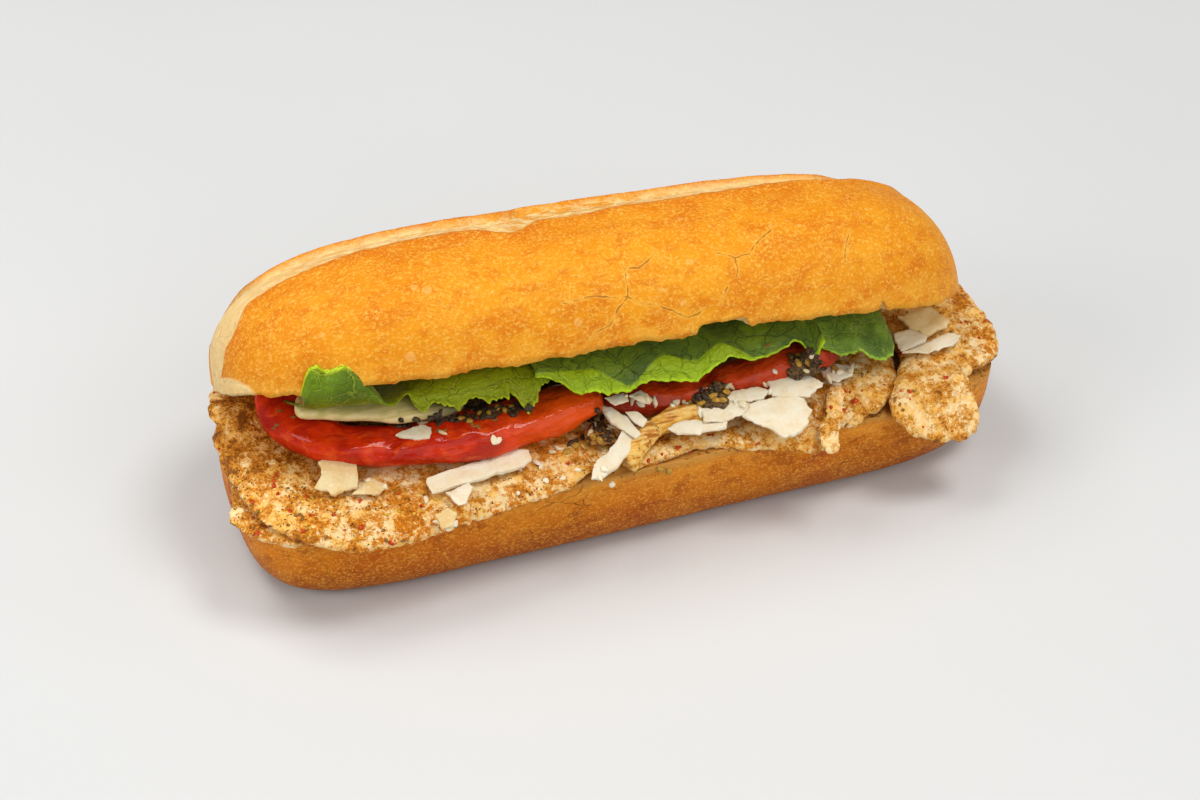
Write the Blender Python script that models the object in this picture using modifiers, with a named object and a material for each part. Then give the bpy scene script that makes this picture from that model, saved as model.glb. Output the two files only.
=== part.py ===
"""Chicken sandwich: a long crusty roll cut lengthways and opened at the front, filled with sliced grilled
chicken, roasted pepper, leaf lettuce, a dark seed relish and shavings of hard cheese.

Lengths are named in millimetres and multiplied by MM, because Blender works in metres. The origin is the
middle of the flat underside of the roll. X runs along the roll, -Y is the open front and Z is up.
"""

import math
import random

import bmesh
import bpy
from mathutils import Matrix, Vector, noise

MM = 0.001
CLEARANCE = 0.42  # every piece keeps about this far from the pieces laid before it

# Lower half of the roll
BASE_HALF_LENGTH = 117.6
BASE_HALF_WIDTH = 37.7
BASE_HEIGHT = 31.0
BASE_FULL_DEPTH = 39.4  # depth of the rounded section before its underside is flattened
BASE_SECTION = (2.9, 2.8)  # powers of the section's curve, across and upwards
BASE_ENDS = (7.3, 8.7, 3.86)  # powers of the left end, the right end and the rounding

# Upper half of the roll, in its own frame: the cut face is its plane h = 0
LID_HALF_LENGTH = 112.8
LID_HALF_WIDTH = 39.8
LID_HEIGHT = 37.2
LID_SECTION = (1.84, 2.69)
LID_ENDS = (4.45, 4.30, 2.64)
LID_TILT = math.radians(28.5)
LID_PITCH = math.radians(1.25)
LID_YAW = math.radians(-2.0)
LID_CENTRE = Vector((-5.3, 4.1, 53.65))
LID_DROOP = 5.0  # the right end of the lid hangs this much lower at its rim
SCORE_DEPTH = 2.4
LIP_RISE = 0.9
# The front lip of the split in the crown: station along the lid, and degrees round its section
SCORE_LINE = [(-1.0, 15), (-0.97, 45), (-0.9, 65), (-0.5, 70), (-0.34, 69), (-0.24, 60), (-0.14, 68),
              (0.3, 70), (0.65, 73), (0.82, 82), (0.95, 102), (1.0, 108)]
SCORE_WIDTH = math.radians(31)

# Roll meshes: points round the section, and how many of them are on the crust
ROUND = 34
ON_CRUST = 24
STATIONS = 24
CROWDING = 0.45  # how much closer the lid's points lie near the split than elsewhere
RIM_WAVE = 0.9

# Chicken slices: slope up to the back, the line where their named height is met, and slope over the rim
CHICKEN_RISE = 0.13
CHICKEN_FROM_Y = -16.0
CHICKEN_DROP = 0.8

LEAF_THICKNESS = 0.8
SEED_SIZE = (1.9, 1.15, 0.95)
SEED_SPREAD = 0.72  # how much of a relish patch its seeds cover, as a share of its half sizes
SEED_RISE = 0.25  # how far the middle of a seed stands above the relish


def smoothstep(low, high, value):
    x = min(1.0, max(0.0, (value - low) / (high - low)))
    return x * x * (3 - 2 * x)


def curve_point(points, share, closed=False):
    """The point at share 0..1 of a smooth curve through the points."""
    count = len(points) if closed else len(points) - 1
    place = share * count
    i = min(int(place), count - 1)
    t = place - i

    def at(k):
        return Vector(points[k % len(points)] if closed else points[min(max(k, 0), len(points) - 1)])

    a, b, c, d = at(i - 1), at(i), at(i + 1), at(i + 2)
    return 0.5 * ((2 * b) + (c - a) * t + (2 * a - 5 * b + 4 * c - d) * t**2 + (3 * b - a - 3 * c + d) * t**3)


def signed_power(value, power):
    return math.copysign(abs(value) ** power, value)


def taper(station, ends):
    """How wide a loaf is at a station from -1 to 1, as a share of its full width."""
    left, right, rounding = ends
    power = left if station < 0 else right
    return max(0.0, 1 - abs(station) ** power) ** (1 / rounding)


def clear_scene():
    for obj in list(bpy.data.objects):
        bpy.data.objects.remove(obj)


def new_collection(name):
    collection = bpy.data.collections.new(name)
    bpy.context.scene.collection.children.link(collection)
    return collection


def finish(name, colour, roughness):
    material = bpy.data.materials.new(name)
    material.use_nodes = True
    shader = material.node_tree.nodes["Principled BSDF"]
    shader.inputs["Base Color"].default_value = (*colour, 1)
    shader.inputs["Roughness"].default_value = roughness
    shader.inputs["Metallic"].default_value = 0.0
    material.diffuse_color = (*colour, 1)
    return material


def finishes():
    return {
        "crust_light": finish("crust_light", (0.70, 0.35, 0.07), 0.55),
        "crust_dark": finish("crust_dark", (0.50, 0.20, 0.045), 0.55),
        "chicken": finish("chicken", (0.80, 0.62, 0.38), 0.55),
        "pepper": finish("pepper", (0.62, 0.04, 0.015), 0.2),
        "lettuce": finish("lettuce", (0.13, 0.32, 0.03), 0.4),
        "lettuce_rib": finish("lettuce_rib", (0.66, 0.66, 0.42), 0.35),
        "cheese": finish("cheese", (0.86, 0.79, 0.58), 0.5),
        "relish": finish("relish", (0.10, 0.07, 0.03), 0.35),
    }


class Sandwich:
    """The pieces laid so far. Each new piece is cut clear of those before it."""

    def __init__(self):
        self.collection = new_collection("chicken_sandwich")
        self.cutters = new_collection("cutters")
        self.finishes = finishes()
        self.laid = []

    def add_cutter(self, name, mesh):
        """A copy of a piece, grown by the clearance, that carves later pieces."""
        cutter = bpy.data.objects.new("clear_of_" + name, mesh.copy())
        for vertex, normal in zip(cutter.data.vertices, [v.normal.copy() for v in mesh.vertices]):
            vertex.co += normal * CLEARANCE * MM
        cutter.hide_render = True
        cutter.display_type = "WIRE"
        self.cutters.objects.link(cutter)
        return cutter

    def lay(self, name, material, mesh, extras=None):
        """Adds a piece, carved by its neighbours, with small extras such as seeds fused to it."""
        obj = bpy.data.objects.new(name, mesh)
        self.collection.objects.link(obj)
        if extras:
            self.fuse(obj, extras)
        own_cutter = self.add_cutter(name, obj.data)
        for other in self.laid:
            if boxes_meet(own_cutter, other):
                cut = obj.modifiers.new("clear", "BOOLEAN")
                cut.operation = "DIFFERENCE"
                cut.object = other
        bake(obj)
        self.laid.append(own_cutter)
        obj.data.materials.clear()
        obj.data.materials.append(self.finishes[material])
        obj.data.shade_smooth()
        obj.data.set_sharp_from_angle(angle=math.radians(50))
        return obj

    def fuse(self, obj, extras):
        """Joins the extras to a piece by one union on a collection, which is then emptied."""
        joined = new_collection("extras")
        for i, mesh in enumerate(extras):
            extra = bpy.data.objects.new(f"extra_{i}", mesh)
            extra.hide_render = True
            joined.objects.link(extra)
        union = obj.modifiers.new("fuse", "BOOLEAN")
        union.operation = "UNION"
        union.operand_type = "COLLECTION"
        union.collection = joined
        bake(obj)
        for extra in list(joined.objects):
            bpy.data.objects.remove(extra)
        bpy.data.collections.remove(joined)


def boxes_meet(first, second):
    """Whether the bounding boxes of two objects at the origin overlap."""
    a = [Vector(c) for c in first.bound_box]
    b = [Vector(c) for c in second.bound_box]
    return all(
        min(p[i] for p in a) < max(p[i] for p in b) and min(p[i] for p in b) < max(p[i] for p in a)
        for i in range(3)
    )


def bake(obj):
    """Applies the modifiers. The exact solver is tried first, the manifold one where it leaves no solid."""
    for solver in ("EXACT", "MANIFOLD"):
        for modifier in obj.modifiers:
            modifier.solver = solver
        bpy.context.view_layer.update()
        graph = bpy.context.evaluated_depsgraph_get()
        mesh = bpy.data.meshes.new_from_object(obj.evaluated_get(graph))
        if tidy(mesh):
            break
    obj.modifiers.clear()
    obj.data = mesh


def tidy(mesh):
    """Keeps the largest body of a mesh, so that no loose scrap stays, and tells whether it is closed."""
    bm = bmesh.new()
    bm.from_mesh(mesh)
    bmesh.ops.triangulate(bm, faces=bm.faces)
    bmesh.ops.remove_doubles(bm, verts=bm.verts, dist=0.004 * MM)
    bmesh.ops.dissolve_degenerate(bm, edges=bm.edges, dist=0.004 * MM)
    for body in sorted(bodies_of(bm), key=len)[:-1]:
        bmesh.ops.delete(bm, geom=body, context="VERTS")
    bmesh.ops.triangulate(bm, faces=bm.faces)
    sound = len(bm.faces) > 0 and all(edge.is_manifold for edge in bm.edges)
    bm.to_mesh(mesh)
    bm.free()
    return sound


def bodies_of(bm):
    """The vertices of each separate body."""
    seen, bodies = set(), []
    for start in bm.verts:
        if start in seen:
            continue
        body, waiting = [], [start]
        seen.add(start)
        while waiting:
            vertex = waiting.pop()
            body.append(vertex)
            for edge in vertex.link_edges:
                other = edge.other_vert(vertex)
                if other not in seen:
                    seen.add(other)
                    waiting.append(other)
        bodies.append(body)
    return bodies


def reshaped(bm, place):
    """A mesh with every vertex moved by place, which gives millimetres."""
    for vertex in bm.verts:
        vertex.co = Vector(place(vertex.co.copy())) * MM
    bmesh.ops.recalc_face_normals(bm, faces=bm.faces)
    if bm.calc_volume(signed=True) < 0:
        bmesh.ops.reverse_faces(bm, faces=bm.faces)
    bmesh.ops.triangulate(bm, faces=bm.faces)
    mesh = bpy.data.meshes.new("shape")
    bm.to_mesh(mesh)
    bm.free()
    return mesh


def ball(around, along):
    bm = bmesh.new()
    bmesh.ops.create_uvsphere(bm, u_segments=around, v_segments=along, radius=1)
    return bm


def section_place(turn, crowding):
    """Where a share of a turn falls on a half loaf's section: its angle on the crust, or its place across
    the cut face from -1 at the front to 1 at the back."""
    crust = ON_CRUST / ROUND
    if turn > crust + 1e-6:
        return None, 1 - 2 * (turn - crust) / (1 - crust)
    share = turn / crust
    middle = 0.4  # the points crowd towards the split, a little in front of the crown
    pull = math.sin(math.tau * (share - middle)) + math.sin(math.tau * middle)
    return math.pi * share - 0.5 * crowding * pull, None


def loaf_half(sizes, section, ends, crowding, place):
    """One half of the roll. Place turns station, across, up and crust angle into the row frame."""
    half_width, height = sizes
    wide, high = section

    def on_half(co):
        station = max(-1.0, min(1.0, co.z))
        turn = (math.atan2(co.y, co.x) / math.tau) % 1.0
        angle, across = section_place(0.0 if turn > 1 - 1e-6 else turn, crowding)
        width = taper(station, ends)
        if angle is None:
            return place(station, across * half_width * width, 0.0, None)
        w = -signed_power(math.cos(angle), 2 / wide) * half_width * width
        h = abs(math.sin(angle)) ** (2 / high) * height * width
        return place(station, w, h, angle)

    return reshaped(ball(ROUND, STATIONS), on_half)


def rim_wave(station, seed):
    """The uneven line that the knife left, in millimetres."""
    return RIM_WAVE * noise.noise(Vector((station * 9.0, seed, 0.3)))


def base_mesh():
    def place(station, across, down, angle):
        z = BASE_HEIGHT - down
        lift = 5.0
        floor = max(0.0, lift - z)  # the rounded underside meets the flat one along a soft curve
        z = max(0.0, z + floor * floor / (4 * lift)) if z > -lift else 0.0
        rim = 1 - smoothstep(0, 8, down)
        z += rim * rim_wave(station, 2.0) * (1 if angle is not None or abs(across) > 25 else 0.4)
        return station * BASE_HALF_LENGTH, across, z

    return loaf_half((BASE_HALF_WIDTH, BASE_FULL_DEPTH), BASE_SECTION, BASE_ENDS, 0.0, place)


def lid_droop(station):
    return LID_DROOP * smoothstep(0.3, 1.0, station)


def lid_matrix():
    """The lid's own frame in the row frame."""
    tilt = Matrix.Rotation(-LID_TILT, 4, "X")
    pitch = Matrix.Rotation(LID_PITCH, 4, "Y")
    yaw = Matrix.Rotation(LID_YAW, 4, "Z")
    return Matrix.Translation(LID_CENTRE) @ yaw @ pitch @ tilt


LID = lid_matrix()


def lip_angle(station):
    """How far round the section the front lip of the split lies."""
    for (s0, a0), (s1, a1) in zip(SCORE_LINE, SCORE_LINE[1:]):
        if station <= s1:
            return math.radians(a0 + (a1 - a0) * smoothstep(s0, s1, station))
    return math.radians(SCORE_LINE[-1][1])


def split_depth(station, angle):
    """How far the crown is sunk in the split, or raised at its lip."""
    past = angle - lip_angle(station)
    inside = smoothstep(0.0, 0.1, past) * (1 - smoothstep(SCORE_WIDTH - 0.12, SCORE_WIDTH, past))
    lip = math.exp(-((past + 0.05) / 0.07) ** 2)
    return (SCORE_DEPTH * inside - LIP_RISE * lip) * taper(station, LID_ENDS)


def lid_mesh():
    def place(station, across, up, angle):
        if angle is not None:
            up -= split_depth(station, angle) * smoothstep(0.0, 0.35, math.sin(angle))
        low = 1 - min(1.0, up / LID_HEIGHT)
        up -= lid_droop(station) * low
        up += rim_wave(station, 7.0) * smoothstep(0.75, 1.0, low)
        return LID @ Vector((station * LID_HALF_LENGTH, across, up))

    return loaf_half((LID_HALF_WIDTH, LID_HEIGHT), LID_SECTION, LID_ENDS, CROWDING, place)


def chicken_face(top, rise=CHICKEN_RISE, left_rise=0.0, drop=CHICKEN_DROP, level_from=12.0):
    """The height of a slice's upper face: it rises to the back and drops where it hangs over the rim."""
    rim = -BASE_HALF_WIDTH

    def height(x, y):
        z = top + rise * (min(max(y, rim), level_from) - CHICKEN_FROM_Y)
        z += left_rise * max(0.0, -85 - x)
        if y < rim:
            z += drop * (y - rim)
        return z

    return height


def slab(outline, thickness, face, around=30, along=8, roundness=3.0, bumps=0.0, smooth=True):
    """A slice or shaving: its outline seen from above, and face, the height of its upper side."""
    centre = Vector((sum(p[0] for p in outline), sum(p[1] for p in outline))) / len(outline)

    def on_outline(share):
        if smooth:
            return curve_point([(x, y, 0) for x, y in outline], share, closed=True).xy
        place = share * len(outline)
        corner = int(place) % len(outline)
        after = (corner + 1) % len(outline)
        return Vector(outline[corner]).lerp(Vector(outline[after]), place % 1)

    def place(co):
        share = (math.atan2(co.y, co.x) / math.tau + 1e-6) % 1
        reach = min(1.0, math.hypot(co.x, co.y)) ** (2 / roundness)
        x, y = centre.lerp(on_outline(share), reach)
        thick = thickness * (1 - 0.25 * reach)
        bump = bumps * noise.noise(Vector((x * 0.09, y * 0.09, thickness)))
        return x, y, face(x, y) + bump - thickness / 2 + signed_power(co.z, 2 / roundness) * thick / 2

    return reshaped(ball(around, along), place)


def sweep(path, half_width, half_height, around=16, along=26, end=3.0, lean=0.0, crease=0.0):
    """A roll or strip: a flattened oval section carried along a path and closed at both ends."""

    def place(co):
        station = max(-1.0, min(1.0, co.z))
        share = (station + 1) / 2
        here = curve_point(path, share)
        ahead = curve_point(path, min(1.0, share + 0.01)) - curve_point(path, max(0.0, share - 0.01))
        ahead.z = 0
        side = Vector((-ahead.y, ahead.x, 0)).normalized()
        turn = math.atan2(co.y, co.x)
        width = taper(station, (end, end, end))
        lump = 1 + 0.10 * math.sin(9.0 * share + 1.0) + 0.06 * math.sin(23.0 * share)
        a = half_width * width * lump * math.cos(turn)
        b = half_height * width * (lump * math.sin(turn) - crease * max(0.0, math.cos(turn * 2 + 2.2)))
        up = Vector((0, 0, 1))
        return here + side * (a * math.cos(lean) - b * math.sin(lean)) + up * (a * math.sin(lean) + b)

    return reshaped(ball(around, along), place)


def leaf(stations, inner, columns, rows, ruffle, phase):
    """A thin wavy sheet. Each station is an x, a middle point and an edge point, both (y, z), and the
    sheet runs from the hidden inner edge at the back, through the middle, to the torn front edge."""
    middle = [(x, *m) for x, m, _ in stations]
    edge = [(x, *e) for x, _, e in stations]
    bm = bmesh.new()
    bmesh.ops.create_grid(bm, x_segments=columns, y_segments=rows, size=1)
    for vertex in bm.verts:
        p, q = (vertex.co.x + 1) / 2, (vertex.co.y + 1) / 2
        m, e = curve_point(middle, p), curve_point(edge, p)
        i = Vector((m.x, *inner))
        bend = 2 * m - (i + e) / 2
        point = i * (1 - q) ** 2 + bend * 2 * q * (1 - q) + e * q**2
        wave = ruffle * smoothstep(0.35, 1.0, q) * math.sin(p * phase[0] + phase[1])
        vertex.co = (point + Vector((0, 0.4 * wave, wave))) * MM
    bmesh.ops.triangulate(bm, faces=bm.faces)
    mesh = bpy.data.meshes.new("leaf")
    bm.to_mesh(mesh)
    bm.free()
    sheet = bpy.data.objects.new("sheet", mesh)
    bpy.context.scene.collection.objects.link(sheet)
    solid = sheet.modifiers.new("thickness", "SOLIDIFY")
    solid.thickness = LEAF_THICKNESS * MM
    solid.offset = 0.0
    bpy.context.view_layer.update()
    thick = bpy.data.meshes.new_from_object(sheet.evaluated_get(bpy.context.evaluated_depsgraph_get()))
    bpy.data.objects.remove(sheet)
    bm = bmesh.new()
    bm.from_mesh(thick)
    if bm.calc_volume(signed=True) < 0:
        bmesh.ops.reverse_faces(bm, faces=bm.faces)
    bm.to_mesh(thick)
    bm.free()
    return thick


def seeds_on(centre, reach, count, face, draw):
    """Small oval seeds pressed into the upper face of a relish patch."""
    meshes = []
    for _ in range(count):
        angle = draw.uniform(0, math.tau)
        far = math.sqrt(draw.random()) * SEED_SPREAD
        x = centre[0] + reach[0] * far * math.cos(angle)
        y = centre[1] + reach[1] * far * math.sin(angle)
        turn = Matrix.Rotation(draw.uniform(0, math.tau), 3, "Z")
        tip = Matrix.Rotation(draw.uniform(-0.4, 0.4), 3, "Y")
        lie = turn @ tip @ Matrix.Diagonal(SEED_SIZE)
        here = Vector((x, y, face(x, y) + SEED_RISE))
        bm = bmesh.new()
        bmesh.ops.create_icosphere(bm, subdivisions=1, radius=1)
        meshes.append(reshaped(bm, lambda co, lie=lie, here=here: here + lie @ co))
    return meshes


def oval(centre, reach, count=8, uneven=0.18, turn=0.0):
    """An uneven oval outline."""
    points = []
    for i in range(count):
        angle = math.tau * i / count
        wobble = 1 + uneven * math.sin(2.7 * angle + centre[0])
        x, y = reach[0] * wobble * math.cos(angle), reach[1] * wobble * math.sin(angle)
        points.append((centre[0] + x * math.cos(turn) - y * math.sin(turn),
                       centre[1] + x * math.sin(turn) + y * math.cos(turn)))
    return points


def lay_roll(sandwich):
    sandwich.lay("roll_bottom", "crust_dark", base_mesh())
    sandwich.lay("roll_top", "crust_light", lid_mesh())


def lay_chicken(sandwich):
    left_lower = [(-119, -9), (-122, -17), (-123, -23), (-121, -29), (-113, -36), (-103, -38), (-88, -38),
                  (-78, -28), (-80, -6), (-95, 8), (-110, 6)]
    left_upper = [(-118, 21), (-120, 8), (-121.5, -5), (-120.5, -16), (-115, -31), (-106, -39.5), (-92, -43),
                  (-75, -43.5), (-58, -42.5), (-42, -41), (-27, -39), (-15, -32.5), (-8, -28), (-4, -16),
                  (-9, 2), (-22, 18), (-50, 27), (-80, 31), (-106, 32)]
    middle = [(-12, -35), (-5, -37), (4, -36.5), (14, -36), (22, -38), (32, -40.5), (43, -43), (50, -44.5),
              (54, -41), (56, -30), (52, -5), (44, 20), (24, 33), (2, 31), (-12, 14), (-14, -12)]
    right_middle = [(50, -36), (55, -39.5), (61, -40), (68, -38.5), (74, -35.5), (79, -30.5), (83, -24),
                    (85, -12), (82, 8), (72, 26), (58, 31), (49, 18), (46, -4), (47, -24)]
    right_end = [(85, -17), (80, -27), (74, -35), (73, -40), (79, -46), (87, -49), (95, -48.5), (101, -46),
                 (100, -40), (102, -33), (110, -30), (115, -27), (119, -21), (120, -12), (119, 0), (114, 14),
                 (100, 24), (90, 18), (85, 2)]
    slices = [
        ("chicken_left_lower", left_lower, 4.6, chicken_face(35.8, 0.05, drop=0.55), 22, 0.5),
        ("chicken_left_upper", left_upper, 6.4, chicken_face(39.0, left_rise=0.1), 38, 0.9),
        ("chicken_middle", middle, 4.8, chicken_face(35.9, 0.06, drop=0.6), 32, 0.7),
        ("chicken_right_middle", right_middle, 6.6, chicken_face(38.4, 0.08), 28, 0.7),
        ("chicken_right_end", right_end, 7.4, chicken_face(40.2, 0.10, drop=0.95), 38, 1.0),
    ]
    for name, outline, thickness, face, around, bumps in slices:
        sandwich.lay(name, "chicken", slab(outline, thickness, face, around=around, bumps=bumps))

    curl = [(-10, -39, 35.5), (-6, -35, 38.2), (0, -31, 39.8), (7, -29, 40.3), (13, -29.5, 40.2),
            (17, -31, 39.8)]
    curl_mesh = sweep(curl, 3.4, 1.2, around=8, along=12, end=4.0, lean=0.9)
    sandwich.lay("chicken_curl", "chicken", curl_mesh)

    shred = [(59, -31, 40.0), (56, -35, 39.0), (54.5, -39, 37.6), (51.5, -42, 36.4), (50, -45.5, 34.6),
             (50, -49.5, 32.0)]
    shred_mesh = sweep(shred, 2.6, 1.1, around=8, along=12, end=4.0)
    sandwich.lay("chicken_shred", "chicken", shred_mesh)


def lay_peppers(sandwich):
    left = [(-94, 15, 47.5), (-98.5, 7, 47.0), (-99, -3, 46.5), (-92, -13, 46.0), (-81, -17.5, 44.9),
            (-69, -20.5, 44.2), (-56, -21, 44.0), (-43, -21, 44.0), (-31, -20, 44.5), (-20, -18.5, 45.2),
            (-12, -17.5, 45.5)]
    left_mesh = sweep(left, 8.0, 5.9, around=14, along=26, end=4.5, lean=-0.28, crease=0.10)
    sandwich.lay("pepper_left", "pepper", left_mesh)

    right = [(-9, -15, 42.0), (6, -18.5, 41.6), (20, -19.5, 41.8), (33, -19.5, 42.6), (46, -19, 44.2),
             (57, -18, 45.2), (62, -16, 45.4)]
    right_mesh = sweep(right, 7.0, 5.2, around=12, along=18, end=4.0, lean=-0.25, crease=0.08)
    sandwich.lay("pepper_right", "pepper", right_mesh)


def lay_relish(sandwich, draw):
    """Dark relish with seeds: name, centre, half sizes, upper height, thickness and number of seeds."""
    patches = [
        ("relish_left", (-39, -5), (23, 9.5), 50.0, 8.5, 12),
        ("relish_middle", (-14, -26.5), (5.0, 5.5), 41.6, 4.0, 6),
        ("relish_right", (20, -27), (7.0, 4.5), 46.4, 7.0, 8),
        ("relish_far", (49, -25.5), (5.5, 4.2), 49.6, 5.0, 6),
    ]
    for name, centre, reach, top, thickness, count in patches:
        def face(x, y, c=centre, r=reach, z=top):
            return z - 1.3 * (((x - c[0]) / r[0]) ** 2 + ((y - c[1]) / r[1]) ** 2)

        mound = slab(oval(centre, reach), thickness, face, around=12, along=6, roundness=2.4, bumps=1.2)
        sandwich.lay(name, "relish", mound, extras=seeds_on(centre, reach, count, face, draw))


def lay_cheese(sandwich):
    """Cheese shavings: outline seen from above, height at the middle, slope up to the back and thickness."""
    shavings = [
        ([(-96, -20), (-91, -18.5), (-86, -19.5), (-86, -25), (-88, -28), (-94, -29), (-99, -26),
          (-96, -23)], 43.6, 0.6, 2.4),
        ([(-89, -29), (-86, -25.5), (-82, -25), (-79, -28.5), (-82, -31)], 39.6, 0.13, 1.5),
        ([(-68, -30), (-53, -28.5), (-43, -26.5), (-37, -28.5), (-37, -31.5), (-40, -33), (-52, -34),
          (-68, -35)], 40.0, 0.3, 2.0),
        ([(-64, -36), (-57, -34.5), (-56, -36), (-60, -41), (-62, -41.5)], 38.4, 0.15, 1.3),
        ([(-69, -41.5), (-65, -40.5), (-62.5, -42), (-65, -44.5), (-68, -44.5)], 35.2, 0.8, 1.3),
        ([(-74, -21.5), (-66, -19.5), (-63.5, -21.5), (-65, -25), (-72, -23)], 50.6, 0.25, 1.4),
        ([(-13, -22), (-10, -23), (-6.5, -28), (-5, -34), (-7, -34.5), (-12, -28)], 44.0, 0.25, 1.5),
        ([(-7, -26.5), (-3.5, -27.5), (-2, -31), (-4, -33), (-6, -30)], 44.8, 0.25, 1.3),
        ([(-9, -30.5), (-6, -33), (-8, -36), (-14, -40), (-21, -43), (-23, -42), (-21, -38.5),
          (-13, -34)], 39.6, 0.45, 1.8),
        ([(4, -32.5), (9, -31), (17, -33.5), (22, -34.5), (21, -36.5), (12, -36.5), (6, -35)],
         40.6, 0.2, 1.5),
        ([(15, -30), (21, -28.8), (27, -30), (31, -32), (27, -34.5), (20, -35), (15, -34)],
         42.4, 0.3, 1.4),
        ([(22, -29), (27, -27), (34, -27.3), (37, -29.8), (34, -31.5), (28, -31)], 44.2, 0.3, 1.3),
        ([(26, -35), (31, -32), (41, -31.5), (46, -34.5), (47, -38), (44, -42), (41, -44),
          (36, -44.5), (31, -40)], 41.2, 0.35, 1.8),
        ([(38, -26), (43, -24.5), (48, -23.2), (50, -26), (54, -31), (48, -34.5), (41, -33),
          (37, -31.5)], 44.3, 0.2, 1.6),
        ([(57, -21.5), (62, -21), (67, -23.5), (65.5, -27), (60, -28), (57, -25)], 41.0, 0.1, 2.4),
        ([(88.5, -9.5), (100, -8.5), (103, -16), (101, -18), (94, -19.5), (90, -15)], 43.8, 0.1, 1.8),
        ([(84, -15.5), (92, -14.5), (94, -19.5), (92, -21.5), (83, -23)], 42.6, 0.1, 1.4),
        ([(83.5, -23.5), (95, -21.5), (101, -20), (104, -22), (100, -25), (91, -26)], 42.2, 0.1, 1.3),
        ([(-12, -23), (-6, -22.5), (-5.5, -25.5), (-10, -26)], 48.6, 0.2, 1.2),
        ([(-5, -24), (-1, -22.8), (0.5, -25), (0, -28), (-3, -26)], 48.6, 0.2, 1.2),
    ]
    for number, (outline, middle, slope, thickness) in enumerate(shavings, 1):
        centre_y = sum(p[1] for p in outline) / len(outline)

        def face(x, y, c=centre_y, z=middle, s=slope):
            return z + s * (y - c)

        corners = 2 * len(outline)
        mesh = slab(outline, thickness, face, around=corners, along=4, roundness=5.0, bumps=0.3, smooth=False)
        sandwich.lay(f"cheese_{number:02d}", "cheese", mesh)


def lay_lettuce(sandwich):
    rib = [(-98.5, -6, 55.3), (-90, -9, 54.8), (-78, -12.3, 53.4), (-66, -13.8, 52.2), (-52, -14.5, 51.5)]
    rib_mesh = sweep(rib, 6.0, 2.9, around=10, along=12, end=3.5, lean=-0.2)
    sandwich.lay("lettuce_rib", "lettuce_rib", rib_mesh)

    left = [(-100, (-20, 66.5), (-21.0, 71)), (-97, (-21.5, 66.8), (-20.5, 79.5)),
            (-93, (-21.8, 66.2), (-20.5, 79)), (-88, (-21.8, 65.4), (-21, 78.5)),
            (-83, (-21.8, 64.6), (-22, 74.5)), (-79, (-21.3, 63.4), (-23.0, 68)),
            (-75, (-19.0, 62.0), (-23, 63)), (-70, (-16, 60.8), (-20, 62.5)),
            (-67, (-14, 60.2), (-20, 57)), (-61, (-13, 60.0), (-20, 57.2)),
            (-56, (-12, 59.6), (-21, 53.8)), (-50, (-12, 59.4), (-20, 55.8)),
            (-44, (-12, 59.2), (-20.5, 54.2)), (-40, (-12, 59), (-21.5, 55)),
            (-35.5, (-12, 58.9), (-25.5, 51.5)), (-32, (-12, 58.7), (-23, 56.6)),
            (-28, (-12, 58.5), (-21, 57.2)), (-22, (-11, 58.2), (-20, 57.6))]
    sandwich.lay("lettuce_left", "lettuce", leaf(left, (8, 47.5), 30, 6, 0.7, (34.0, 0.4)))

    middle = [(-33, (-13, 61.2), (-23.5, 60)), (-27, (-13, 61.0), (-25, 59.6)),
              (-22, (-13.5, 60.8), (-26.5, 56)), (-17, (-14, 60.4), (-27.5, 54)),
              (-12, (-14, 60.2), (-27.5, 53)), (-6, (-14, 60.0), (-27.5, 54)),
              (0, (-14, 59.8), (-27.5, 53.6)), (7, (-14, 59.6), (-27.5, 52)),
              (14, (-14, 59.4), (-27.5, 52.8)), (19, (-14, 59.2), (-27.5, 53)),
              (25, (-14, 59.0), (-26.5, 55)), (33, (-14, 58.6), (-26.5, 54.2)),
              (41, (-14, 58.2), (-26.5, 54.2)), (47, (-13.5, 57.8), (-26.5, 55)),
              (51, (-13, 57.4), (-29.5, 52.8)), (55, (-12, 57.0), (-27.5, 55.5))]
    sandwich.lay("lettuce_middle", "lettuce", leaf(middle, (9, 49.0), 26, 6, 0.9, (30.0, 1.2)))

    right = [(50, (-13, 54.0), (-25, 52)), (56, (-13, 53.8), (-26, 50.5)), (62, (-13, 53.0), (-27, 48.4)),
             (66, (-13, 52.2), (-27, 47.5)), (70, (-13, 51.4), (-27.5, 46.2)),
             (74, (-13, 50.6), (-28, 44.2)), (78, (-12, 49.6), (-27.5, 43.2)), (80.5, (-10, 49), (-24, 44.6))]
    sandwich.lay("lettuce_right", "lettuce", leaf(right, (9, 46.2), 13, 6, 0.6, (16.0, 0.3)))


def main():
    clear_scene()
    draw = random.Random(7)
    sandwich = Sandwich()
    lay_roll(sandwich)
    lay_chicken(sandwich)
    lay_peppers(sandwich)
    lay_relish(sandwich, draw)
    lay_cheese(sandwich)
    lay_lettuce(sandwich)


main()
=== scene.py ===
"""The looks of the chicken sandwich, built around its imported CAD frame.

The roll, chicken, cheese, pepper and leaves are modelled again from the same curves as their solids, with
far more points. The relish is worked up from its solids. Lengths are in millimetres, and MM turns them into
metres.
"""

import math
import random

import bmesh
import bpy
import numpy
from mathutils import Matrix, Vector, noise
from mathutils.bvhtree import BVHTree
from mathutils.interpolate import poly_3d_calc


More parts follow.
